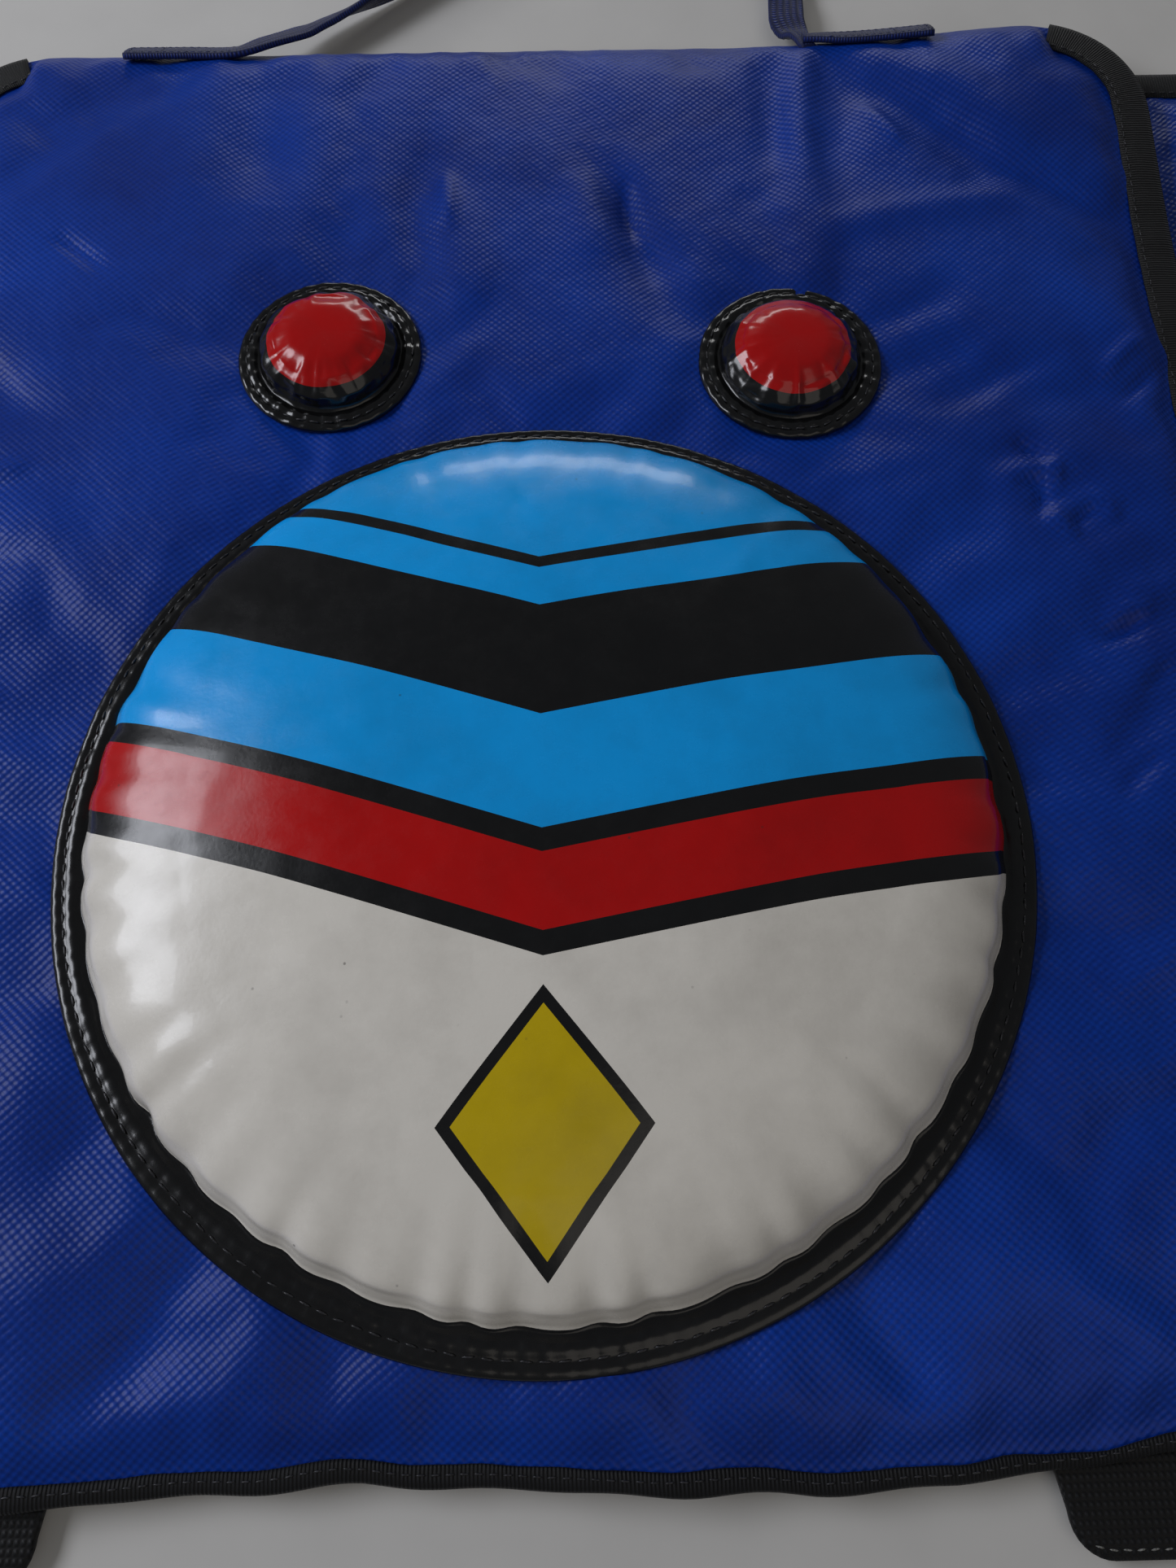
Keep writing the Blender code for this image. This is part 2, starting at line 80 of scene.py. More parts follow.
TARGET_CENTRE = (0.0, -71.0)
TARGET_RADIUS = 125.0
PUFF_RADIUS = 117.2
PUFF_HEIGHT = 23.4
SMALL_RADIUS = 27.5
SMALL_PUFF_RADIUS = 21.2
SMALL_PUFF_HEIGHT = 10.0
SMALL_CENTRES = {"left": (75.0, 77.1), "right": (-62.9, 82.6)}
PUFF_LEAN = 0.016           # a puff sits this share of its rim's radius above the middle
RIM_SEAM = 0.585            # the stitching's place across the rim
TARGET_BASE_Z = 13.55

STRAP_WIDTH, STRAP_THICKNESS = 12.4, 2.4
TAB_LEAN = math.radians(30)  # the sewn ends lean with the fold's shoulder
TAB_Y, TAB_Z = 212.8, 12.4
LIE_Z = 6.2                 # the loop's middle, as it stands on its edge on the table
BEND_Y = 229.0              # the line that the loop lifts about
WAIST_ROOT_X, WAIST_LENGTH = 113.0, 200.0
CURL_Y = 213.0              # where the sewn ends take the panel's lift from

WAVE = 0.31416              # a wave texture of scale 1 repeats after this many metres


# ---------------------------------------------------------------- small tools
def colour(hex_code):
    """An sRGB hex colour as linear values, opaque."""
    channels = [int(hex_code[i:i + 2], 16) / 255 for i in (1, 3, 5)]
    return (*[c / 12.92 if c <= 0.04045 else ((c + 0.055) / 1.055) ** 2.4
              for c in channels], 1.0)


def add(tree, kind, inputs=None, **settings):
    """Adds a node with its settings. inputs gives each input a value or a socket to join."""
    made = tree.nodes.new(kind)
    for key, value in settings.items():
        setattr(made, key, value)
    for key, value in (inputs or {}).items():
        if isinstance(value, bpy.types.NodeSocket):
            tree.links.new(value, made.inputs[key])
        else:
            made.inputs[key].default_value = value
    return made


def smooth(value, low, high):
    """0 below low, 1 above high and an S curve between them."""
    share = np.clip((np.asarray(value, float) - low) / (high - low), 0, 1)
    return share * share * (3 - 2 * share)


def ripple(x, y, size, seed=0.0):
    """Even noise from -1 to 1 over plan points, with waves about size across."""
    x, y = np.broadcast_arrays(np.asarray(x, float), np.asarray(y, float))
    flat = [noise.noise((a / size, b / size, seed)) for a, b in zip(x.ravel(), y.ravel())]
    return np.array(flat).reshape(x.shape)


def make_piece(name, points, faces, uv, material):
    """A mesh object from points in millimetres, at the origin. uv holds one pair of
    millimetres for each point."""
    mesh = bpy.data.meshes.new(name)
    mesh.from_pydata((np.asarray(points) * MM).tolist(), [], faces)
    corners = np.empty(len(mesh.loops), int)
    mesh.loops.foreach_get("vertex_index", corners)
    layer = mesh.uv_layers.new(name="cloth")
    layer.data.foreach_set("uv", (np.asarray(uv, float)[corners] * MM).ravel())
    mesh.polygons.foreach_set("use_smooth", [True] * len(mesh.polygons))
    mesh.materials.append(material)
    mesh.update()
    piece = bpy.data.objects.new(name, mesh)
    bpy.context.scene.collection.objects.link(piece)
    return piece


def grid_faces(rows, columns, start=0, flip=False, closed=False):
    """Quads over a grid of points numbered row by row. closed joins the last column to
    the first."""
    faces = []
    across = columns if closed else columns - 1
    for i in range(rows - 1):
        for j in range(across):
            k = (j + 1) % columns
            quad = (
                start + i * columns + j, start + i * columns + k,
                start + (i + 1) * columns + k, start + (i + 1) * columns + j,
            )
            faces.append(quad[::-1] if flip else quad)
    return faces


def closed_pad(name, upper, lower, uv, material):
    """A closed form between two sheets with the same grid of points, the upper first."""
    rows, columns = upper.shape[:2]
    count = rows * columns
    faces = grid_faces(rows, columns) + grid_faces(rows, columns, count, flip=True)
    edge = (
        [(0, j) for j in range(columns - 1)]
        + [(i, columns - 1) for i in range(rows - 1)]
        + [(rows - 1, j) for j in range(columns - 1, 0, -1)]
        + [(i, 0) for i in range(rows - 1, 0, -1)]
    )
    ring = [i * columns + j for i, j in edge]
    for a, b in zip(ring, ring[1:] + ring[:1]):
        faces.append((b, a, a + count, b + count))
    points = np.concatenate([upper.reshape(-1, 3), lower.reshape(-1, 3)])
    both = np.concatenate([uv.reshape(-1, 2)] * 2)
    return make_piece(name, points, faces, both, material)


def face_outwards(piece):
    """Turns every face of a closed mesh outwards."""
    work = bmesh.new()
    work.from_mesh(piece.data)
    bmesh.ops.recalc_face_normals(work, faces=work.faces[:])
    work.to_mesh(piece.data)
    work.free()
    return piece


def swept(name, rings, along, across, material):
    """A closed strip through rings of points, with flat ends. along is each ring's place
    on the cloth and across is each point's, in millimetres."""
    rings = np.asarray(rings)
    rows, columns = rings.shape[:2]
    uv = np.stack(np.broadcast_arrays(np.asarray(along)[:, None], across), axis=-1)
    last = (rows - 1) * columns
    faces = grid_faces(rows, columns, closed=True)
    faces += [tuple(range(columns))[::-1], tuple(range(last, last + columns))]
    return face_outwards(
        make_piece(name, rings.reshape(-1, 3), faces, uv.reshape(-1, 2), material))


def subdivide(piece):
    """Applies one subdivision to a finished piece."""
    modifier = piece.modifiers.new("subdivide", "SUBSURF")
    modifier.levels = modifier.render_levels = 1
    return bake(piece)


def bake(piece):
    """Turns what a piece's modifiers make into its plain mesh."""
    graph = bpy.context.evaluated_depsgraph_get()
    made = bpy.data.meshes.new_from_object(
        piece.evaluated_get(graph), preserve_all_data_layers=True, depsgraph=graph
    )
    made.name = piece.name
    piece.modifiers.clear()
    piece.data = made
    return piece


def puff_up(points, faces, held, frames, pressure, grow, cap, bending):
    """Cloth simulation of one sheet, sewn down where held is true. The cloth is cut a
    share grow too big, so that it wrinkles. No point moves further than cap."""
    mesh = bpy.data.meshes.new("cloth_trial")
    mesh.from_pydata((points * MM).tolist(), [], faces)
    trial = bpy.data.objects.new("cloth_trial", mesh)
    scene = bpy.context.scene
    scene.collection.objects.link(trial)
    seam = trial.vertex_groups.new(name="seam")
    seam.add([int(i) for i in np.flatnonzero(held)], 1.0, "REPLACE")
    cloth = trial.modifiers.new("cloth", "CLOTH")
    settings = cloth.settings
    settings.vertex_group_mass = "seam"
    settings.quality = 6
    settings.mass = 0.02
    settings.tension_stiffness = settings.compression_stiffness = 12
    settings.shear_stiffness = 4
    settings.bending_stiffness = bending
    settings.tension_damping = settings.compression_damping = 15
    settings.shear_damping = 10
    settings.air_damping = 2
    settings.use_pressure = True
    settings.uniform_pressure_force = pressure
    settings.shrink_min = -grow
    settings.effector_weights.gravity = 0
    cloth.collision_settings.use_collision = False
    cloth.collision_settings.use_self_collision = False
    cloth.point_cache.frame_start, cloth.point_cache.frame_end = 1, frames
    for step in range(1, frames + 1):
        scene.frame_set(step)
    graph = bpy.context.evaluated_depsgraph_get()
    swollen = trial.evaluated_get(graph).data
    found = np.empty(len(points) * 3)
    swollen.vertices.foreach_get("co", found)
    bpy.data.objects.remove(trial)
    scene.frame_set(1)
    move = found.reshape(-1, 3) / MM - points
    far = np.linalg.norm(move, axis=1, keepdims=True)
    return points + move * np.minimum(1, cap / np.maximum(far, 1e-9))


# ---------------------------------------------------------------- shader parts
def new_material(name):
    """An empty material and its node tree."""
    material = bpy.data.materials.new(name)
    material.use_nodes = True
    material.node_tree.nodes.clear()
    return material, material.node_tree


def finish_material(material, inputs):
    """Ends a material with a Principled shader that takes these inputs."""
    shader = add(material.node_tree, "ShaderNodeBsdfPrincipled", inputs)
    add(material.node_tree, "ShaderNodeOutputMaterial", {"Surface": shader.outputs[0]})
    return material


def paint_ramp(ramp, stops, blend="LINEAR"):
    """Colours at the given positions, faded into each other or in hard steps."""
    ramp.interpolation = blend
    while len(ramp.elements) < len(stops):
        ramp.elements.new(1.0)
    for element, (position, hex_code) in zip(ramp.elements, stops):
        element.position = position
        element.color = colour(hex_code)


def oxford_nylon():
    """Woven nylon oxford cloth: satin, with a fine dotted weave that turns into a slanting
    rib in places, and slow light and dark patches where it is rubbed. The real threads
    are 0.7 mm apart; they are drawn 1.2 mm apart so that they show."""
    material, tree = new_material("blue_nylon_oxford_cloth")
    place = add(tree, "ShaderNodeUVMap", uv_map="cloth")
    warp = add(tree, "ShaderNodeTexWave", {
        "Vector": place.outputs[0], "Scale": WAVE / 0.0024, "Distortion": 0.35,
        "Detail": 1.0, "Detail Scale": 0.4})
    weft = add(tree, "ShaderNodeTexWave", {
        "Vector": place.outputs[0], "Scale": WAVE / 0.0022, "Distortion": 0.35,
        "Detail": 1.0, "Detail Scale": 0.4}, bands_direction="Y")
    # over and under in turn: 2 (warp - 0.5) (weft - 0.5) + 0.5
    across = add(tree, "ShaderNodeMath", {0: warp.outputs[1], 1: 0.5}, operation="SUBTRACT")
    along = add(tree, "ShaderNodeMath", {0: weft.outputs[1], 1: 0.5}, operation="SUBTRACT")
    doubled = add(tree, "ShaderNodeMath", {0: along.outputs[0], 1: 2.0}, operation="MULTIPLY")
    dots = add(tree, "ShaderNodeMath", {
        0: across.outputs[0], 1: doubled.outputs[0], 2: 0.5}, operation="MULTIPLY_ADD")
    rib_turn = add(tree, "ShaderNodeMapping", {
        "Vector": place.outputs[0], "Rotation": (0, 0, math.radians(68))})
    rib = add(tree, "ShaderNodeTexWave", {
        "Vector": rib_turn.outputs[0], "Scale": WAVE / 0.0016, "Distortion": 0.7,
        "Detail": 1.0, "Detail Scale": 0.35})
    # in some parts of the cloth the threads line up into a slanting rib
    patches = add(tree, "ShaderNodeTexNoise", {"Vector": place.outputs[0], "Scale": 9.0})
    lined_up = add(tree, "ShaderNodeMapRange", {
        "Value": patches.outputs[0], "From Min": 0.48, "From Max": 0.66, "To Max": 0.4})
    weave = add(tree, "ShaderNodeMix", {
        "Factor": lined_up.outputs[0], "A": dots.outputs[0], "B": rib.outputs[1]})
    # slow changes of colour over the cloth, from wear and from how it was folded
    wear = add(tree, "ShaderNodeTexNoise", {
        "Vector": place.outputs[0], "Scale": 14.0, "Detail": 6.0, "Roughness": 0.6})
    tone = add(tree, "ShaderNodeValToRGB", {"Fac": wear.outputs[0]})
    paint_ramp(tone.color_ramp, [(0.3, "#06287C"), (0.72, "#0841AE")])
    # painted shade: the weave's height sets how much dark navy goes into its hollows
    lifted = add(tree, "ShaderNodeMapRange", {
        "Value": weave.outputs[0], "From Min": 0.15, "From Max": 0.85,
        "To Min": 0.62, "To Max": 1.0})
    # painted shade: the hollows of the weave are drawn darker, as shadow between the threads
    dark = add(tree, "ShaderNodeMix", {
        "Factor": lifted.outputs[0], "A": colour("#04144A"), "B": tone.outputs[0]},
        data_type="RGBA")
    fine = add(tree, "ShaderNodeTexNoise", {
        "Vector": place.outputs[0], "Scale": 160.0, "Detail": 3.0})
    crumple = add(tree, "ShaderNodeBump", {
        "Height": fine.outputs[0], "Strength": 0.5, "Distance": 0.0006})
    bump = add(tree, "ShaderNodeBump", {
        "Height": weave.outputs[0], "Strength": 1.0, "Distance": 0.00016,
        "Normal": crumple.outputs[0]})
    return finish_material(material, {
        "Base Color": dark.outputs["Result"], "Roughness": 0.4, "IOR": 1.53,
        "Specular IOR Level": 0.19, "Sheen Weight": 0.06, "Sheen Roughness": 0.35,
        "Sheen Tint": colour("#3560E0"), "Normal": bump.outputs[0]})


def vinyl(name, rings, bands=None, rough=0.2):
    """Glossy calendered PVC sheet, soft and slightly dimpled, with fine scuffs. Its print
    is drawn from the sheet's own millimetres: bands is a list of (height, colour) from
    the bottom up and rings of (radius, colour) from the middle out, where no colour
    leaves the print below it."""
    material, tree = new_material(name)
    place = add(tree, "ShaderNodeUVMap", uv_map="cloth")
    sheet = add(tree, "ShaderNodeVectorMath", {0: place.outputs[0], "Scale": 1000.0},
                operation="SCALE")
    if bands:
        split = add(tree, "ShaderNodeSeparateXYZ", {0: sheet.outputs[0]})
        # the stripes are chevrons that climb a little to the left: y + 0.07 x - 0.26 |x|
        aside = add(tree, "ShaderNodeMath", {0: split.outputs[0]}, operation="ABSOLUTE")
        bent = add(tree, "ShaderNodeMath", {
            0: aside.outputs[0], 1: -0.26, 2: split.outputs[1]}, operation="MULTIPLY_ADD")
        level = add(tree, "ShaderNodeMath", {
            0: split.outputs[0], 1: 0.07, 2: bent.outputs[0]}, operation="MULTIPLY_ADD")
        share = add(tree, "ShaderNodeMapRange", {
            "Value": level.outputs[0], "From Min": -150.0, "From Max": 150.0})
        stripe = add(tree, "ShaderNodeValToRGB", {"Fac": share.outputs[0]})
        paint_ramp(stripe.color_ramp, [((h + 150) / 300, c) for h, c in bands], "CONSTANT")
        # a lozenge lies on the lowest field: |x| / 24 + |y + 74| / 30 is 1 on its outline
        drop = add(tree, "ShaderNodeMath", {0: split.outputs[1], 1: 74.0}, operation="ADD")
        tall = add(tree, "ShaderNodeMath", {0: drop.outputs[0]}, operation="ABSOLUTE")
        reach_y = add(tree, "ShaderNodeMath", {0: tall.outputs[0], 1: 1 / 30},
                      operation="MULTIPLY")
        lozenge = add(tree, "ShaderNodeMath", {
            0: aside.outputs[0], 1: 1 / 24, 2: reach_y.outputs[0]}, operation="MULTIPLY_ADD")
        figure = add(tree, "ShaderNodeValToRGB", {"Fac": lozenge.outputs[0]})
        paint_ramp(figure.color_ramp, [(0, "#C9AE00"), (0.86, BLACK_INK)], "CONSTANT")
        within = add(tree, "ShaderNodeMath", {0: lozenge.outputs[0], 1: 1.0},
                     operation="LESS_THAN")
        joined = add(tree, "ShaderNodeMix", {
            "Factor": within.outputs[0], "A": stripe.outputs[0], "B": figure.outputs[0]},
            data_type="RGBA")
    distance = add(tree, "ShaderNodeVectorMath", {0: sheet.outputs[0], 1: (0, 0, 0)},
                   operation="DISTANCE")
    reach = add(tree, "ShaderNodeMapRange", {
        "Value": distance.outputs["Value"], "From Min": 0.0, "From Max": 130.0})
    ring = add(tree, "ShaderNodeValToRGB", {"Fac": reach.outputs[0]})
    paint_ramp(ring.color_ramp, [(r / 130, c or "#000000") for r, c in rings], "CONSTANT")
    printed = ring.outputs[0]
    if bands:
        shown = add(tree, "ShaderNodeValToRGB", {"Fac": reach.outputs[0]})
        paint_ramp(shown.color_ramp,
                   [(r / 130, "#FFFFFF" if c else "#000000") for r, c in rings], "CONSTANT")
        mixed = add(tree, "ShaderNodeMix", {
            "Factor": shown.outputs[0], "A": joined.outputs["Result"],
            "B": ring.outputs[0]}, data_type="RGBA")
        printed = mixed.outputs["Result"]
    # handling marks: a brownish film in soft patches and a few dark specks
    film = add(tree, "ShaderNodeTexNoise", {
        "Vector": place.outputs[0], "Scale": 26.0, "Detail": 7.0, "Roughness": 0.65})
    film_share = add(tree, "ShaderNodeMapRange", {
        "Value": film.outputs[0], "From Min": 0.42, "From Max": 0.8, "To Max": 0.3})
    filmed = add(tree, "ShaderNodeMix", {
        "Factor": film_share.outputs[0], "A": printed, "B": colour("#6E655A")},
        data_type="RGBA", blend_type="MULTIPLY")
    specks = add(tree, "ShaderNodeTexVoronoi", {
        "Vector": place.outputs[0], "Scale": 210.0, "Randomness": 1.0})
    speck_share = add(tree, "ShaderNodeMapRange", {
        "Value": specks.outputs[0], "From Min": 0.05, "From Max": 0.09,
        "To Min": 0.55, "To Max": 0.0})
    rare = add(tree, "ShaderNodeTexNoise", {"Vector": place.outputs[0], "Scale": 60.0})
    some = add(tree, "ShaderNodeMapRange", {
        "Value": rare.outputs[0], "From Min": 0.6, "From Max": 0.66})
    speck = add(tree, "ShaderNodeMath", {0: speck_share.outputs[0], 1: some.outputs[0]},
                operation="MULTIPLY")
    final = add(tree, "ShaderNodeMix", {
        "Factor": speck.outputs[0], "A": filmed.outputs["Result"], "B": colour("#2A2622")},
        data_type="RGBA")
    scuff = add(tree, "ShaderNodeTexNoise", {
        "Vector": place.outputs[0], "Scale": 90.0, "Detail": 8.0, "Roughness": 0.7})
    gloss = add(tree, "ShaderNodeMapRange", {
        "Value": scuff.outputs[0], "From Min": 0.35, "From Max": 0.75,
        "To Min": rough, "To Max": rough + 0.16})
    dimples = add(tree, "ShaderNodeTexNoise", {
        "Vector": place.outputs[0], "Scale": 45.0, "Detail": 2.0})
    dent = add(tree, "ShaderNodeBump", {
        "Height": dimples.outputs[0], "Strength": 0.35, "Distance": 0.0012})
    grain = add(tree, "ShaderNodeTexNoise", {
        "Vector": place.outputs[0], "Scale": 900.0, "Detail": 2.0})
    bump = add(tree, "ShaderNodeBump", {
        "Height": grain.outputs[0], "Strength": 0.12, "Distance": 0.0002,
        "Normal": dent.outputs[0]})
    return finish_material(material, {
        "Base Color": final.outputs["Result"], "Roughness": gloss.outputs[0], "IOR": 1.54,
        "Specular IOR Level": 0.38, "Coat Weight": 0.16, "Coat Roughness": 0.06,
        "Normal": bump.outputs[0]})


def tape_cloth(name, light, deep, rib, rough, across=None, relief=0.0002, sheen=0.06):
    """Narrow woven tape. Ribs run across it, rib millimetres apart, and lines along it,
    across millimetres apart, where the weave has them."""
    material, tree = new_material(name)
    place = add(tree, "ShaderNodeUVMap", uv_map="cloth")
    ribs = add(tree, "ShaderNodeTexWave", {
        "Vector": place.outputs[0], "Scale": WAVE / (rib * MM), "Distortion": 0.9,
        "Detail": 1.0, "Detail Scale": 0.4})
    height = ribs.outputs[1]
    if across:
        lines = add(tree, "ShaderNodeTexWave", {
            "Vector": place.outputs[0], "Scale": WAVE / (across * MM), "Distortion": 0.5,
            "Detail": 1.0, "Detail Scale": 0.4}, bands_direction="Y")
        woven = add(tree, "ShaderNodeMath", {0: ribs.outputs[1], 1: lines.outputs[1]},
                    operation="MULTIPLY")
        height = woven.outputs[0]
    dust = add(tree, "ShaderNodeTexNoise", {
        "Vector": place.outputs[0], "Scale": 70.0, "Detail": 5.0, "Roughness": 0.7})
    # painted shade: the colour follows the ribs' height, darker in the hollows between them and
    # lighter on the crests; the dust noise varies it at random
    blend = add(tree, "ShaderNodeMath", {0: height, 1: dust.outputs[0]}, operation="MULTIPLY")
    tone = add(tree, "ShaderNodeValToRGB", {"Fac": blend.outputs[0]})
    paint_ramp(tone.color_ramp, [(0.05, deep), (0.6, light)])
    bump = add(tree, "ShaderNodeBump", {
        "Height": height, "Strength": 0.9, "Distance": relief})
    return finish_material(material, {
        "Base Color": tone.outputs[0], "Roughness": rough, "IOR": 1.5,
        "Specular IOR Level": 0.25, "Sheen Weight": sheen, "Sheen Roughness": 0.4,
        "Normal": bump.outputs[0]})


def patch_cloth(name, light, deep, cell, relief):
    """One half of a hook and loop closure: a dense field of small tufts, cell
    millimetres apart."""
    material, tree = new_material(name)
    place = add(tree, "ShaderNodeUVMap", uv_map="cloth")
    tufts = add(tree, "ShaderNodeTexVoronoi", {
        "Vector": place.outputs[0], "Scale": 1000.0 / cell, "Randomness": 0.55})
    tone = add(tree, "ShaderNodeValToRGB", {"Fac": tufts.outputs[0]})
    paint_ramp(tone.color_ramp, [(0, light), (1, deep)])
    bump = add(tree, "ShaderNodeBump", {
        "Height": tufts.outputs[0], "Strength": 1.0, "Distance": relief}, invert=True)
    return finish_material(material, {
        "Base Color": tone.outputs[0], "Roughness": 0.85, "Sheen Weight": 0.3,
        "Normal": bump.outputs[0]})


def sewing_thread(name, light, deep):
    """Twisted bonded polyester thread: slightly waxy, with a fine twist."""
    material, tree = new_material(name)
    place = add(tree, "ShaderNodeTexCoord")
    twist = add(tree, "ShaderNodeTexNoise", {
        "Vector": place.outputs["Object"], "Scale": 2600.0, "Detail": 1.0})
    tone = add(tree, "ShaderNodeValToRGB", {"Fac": twist.outputs[0]})
    paint_ramp(tone.color_ramp, [(0.35, deep), (0.65, light)])
    bump = add(tree, "ShaderNodeBump", {
        "Height": twist.outputs[0], "Strength": 0.4, "Distance": 0.0001})
    return finish_material(material, {
        "Base Color": tone.outputs[0], "Roughness": 0.38, "Normal": bump.outputs[0]})


BLUE = oxford_nylon()
# polyester binding: matt black, with ribs 0.9 mm apart that break up any highlight
BLACK_TAPE = tape_cloth("black_polyester_binding_tape", "#141518", "#050506", 0.9, 0.62)
# plain-woven polyester lining: thin, dull and even
LINING = tape_cloth("black_polyester_lining_cloth", "#1D1E21", "#0A0A0C", 1.4, 0.62, across=1.4)
# the shell's nylon, folded lengthwise and sewn: its threads give a soft satin sheen
STRAP = tape_cloth("blue_folded_nylon_strap", "#1C3384", "#0B153C", 1.0, 0.5, across=2.4,
                   relief=0.00025, sheen=0.08)
# woven webbing: thick yarns that stand up, so that its ribs show from a distance, with painted
# shade in the hollows between them
WEBBING = tape_cloth("black_woven_webbing", "#1B1C1F", "#070708", 1.5, 0.58, across=1.8,
                     relief=0.00025)
# moulded nylon hooks: small stiff tufts in rows; knitted loops: a soft grey fuzz
HOOKS = patch_cloth("black_hook_tape", "#0B0B0C", "#3A3B3E", 1.5, 0.0005)
LOOPS = patch_cloth("black_loop_tape", "#35363A", "#0C0C0E", 0.9, 0.0004)
# bonded thread: a waxy glint on each stitch
BLACK_THREAD = sewing_thread("black_bonded_thread", "#2C2C30", "#101012")
BLUE_THREAD = sewing_thread("navy_bonded_thread", "#1C2B62", "#0A1232")
GREY_THREAD = sewing_thread("grey_bonded_thread", "#8A8A88", "#55554F")

BLACK_INK = "#0D0D0E"
WHITE_FIELD, RED_BAND, SKY_FIELD = "#E4DFD5", "#BA0000", "#00A2F2"
# calendered PVC with a plain sports print, so it is glossy and wipes clean: chevron stripes
# on three fields of colour and a lozenge, each edge at its height from the middle
PRINTED = vinyl(
    "printed_pvc_sheet", rings=[(0, None), (116.4, BLACK_INK)],
    bands=[(-150, WHITE_FIELD), (-38.5, BLACK_INK), (-32.5, RED_BAND), (-14.0, BLACK_INK),
           (-8.0, SKY_FIELD), (22.0, BLACK_INK), (52.0, SKY_FIELD), (64.0, BLACK_INK),
           (67.5, SKY_FIELD)],
)
# the same sheet in red with a black edge, glossier because it is stretched tight
RED_VINYL = vinyl("red_and_black_pvc_sheet", rings=[(0, "#B20000"), (17.4, BLACK_INK)],
                  rough=0.16)


# ---------------------------------------------------------------- sewn panels
# A sewn panel: its outline (left, right, bottom, top), its corners' radii, functions for
# the width of its flat border and of the slope beside it, a seed for its wrinkles, and
# whether it is the front one, which curls up and has targets sewn on.
Panel = namedtuple("Panel", "outline radii flange slope seed is_front")


def panel_grid(left, right, bottom, top, radii, spacing):
    """Plan points that fill a rounded rectangle, as a grid, with each point's distance
    in from the outline and the outline's outward direction there."""
    columns = int(round((right - left) / spacing)) + 1
    rows = int(round((top - bottom) / spacing)) + 1
    x, y = np.meshgrid(np.linspace(left, right, columns), np.linspace(bottom, top, rows))
    corners = (
        (left, bottom, -1, -1), (right, bottom, 1, -1), (right, top, 1, 1), (left, top, -1, 1)
    )
    for (corner_x, corner_y, sign_x, sign_y), radius in zip(corners, radii):
        a = (sign_x * (x - corner_x) + radius) / radius
        b = (sign_y * (y - corner_y) + radius) / radius
        inside = (a > 0) & (b > 0)
        round_a = a * np.sqrt(1 - np.clip(b, 0, 1) ** 2 / 2)
        round_b = b * np.sqrt(1 - np.clip(a, 0, 1) ** 2 / 2)
        x = np.where(inside, corner_x + sign_x * radius * (round_a - 1), x)
        y = np.where(inside, corner_y + sign_y * radius * (round_b - 1), y)
    middle_x, middle_y = (left + right) / 2, (bottom + top) / 2
    radius = np.select(
        [(x < middle_x) & (y < middle_y), (x >= middle_x) & (y < middle_y),
         (x >= middle_x) & (y >= middle_y)], radii[:3], radii[3])
    qx = np.abs(x - middle_x) - (right - left) / 2 + radius
    qy = np.abs(y - middle_y) - (top - bottom) / 2 + radius
    outside = np.hypot(np.maximum(qx, 0), np.maximum(qy, 0))
    inset = radius - outside - np.minimum(np.maximum(qx, qy), 0)
    steer_x = np.where(qx > qy, 1.0, 0.0)
    out_x = np.where(outside > 0, np.maximum(qx, 0) / np.maximum(outside, 1e-9), steer_x)
    out_y = np.where(outside > 0, np.maximum(qy, 0) / np.maximum(outside, 1e-9), 1 - steer_x)
    return x, y, np.maximum(inset, 0), out_x * np.sign(x - middle_x), out_y * np.sign(y - middle_y)


def curl(x, y):
    """How far the front panel has lifted off the table: most at its top left corner,
    as the wearer sees it, with a slow wave along the bottom edge."""
    x, y = np.asarray(x, float), np.asarray(y, float)
    corner = 8.0 * smooth(x, 70, 200) * smooth(y, 110, 217)
    other = 1.2 * smooth(-x, 120, 200) * smooth(y, 130, 217)
    wave = smooth(-y, 170, 217) * (0.9 * np.sin(x / 27.0 + 0.6) + 0.5 * np.sin(x / 11.0))
    return corner + other + wave * smooth(202 - np.abs(x), 0, 40)


def settle(x, y):
    """Plan points of the front panel as its soft edge has settled: the bottom edge lies
    in slow waves."""
    x, y = np.asarray(x, float), np.asarray(y, float)
    shift = np.interp(x, (-202, -160, -120, -80, -42, -18, 4, 30, 57, 88, 112, 138, 165, 202),
                      (0, -0.8, -1.5, 0.2, 1.6, 0.6, -0.6, -1.8, -2.4, -1.4, 1.2, 3.6, 3.0, 0))
    shift = shift + 0.7 * np.sin(x / 5.8) * np.sin(x / 31.0)
    return x, y + shift * smooth(-y, 130, 217)


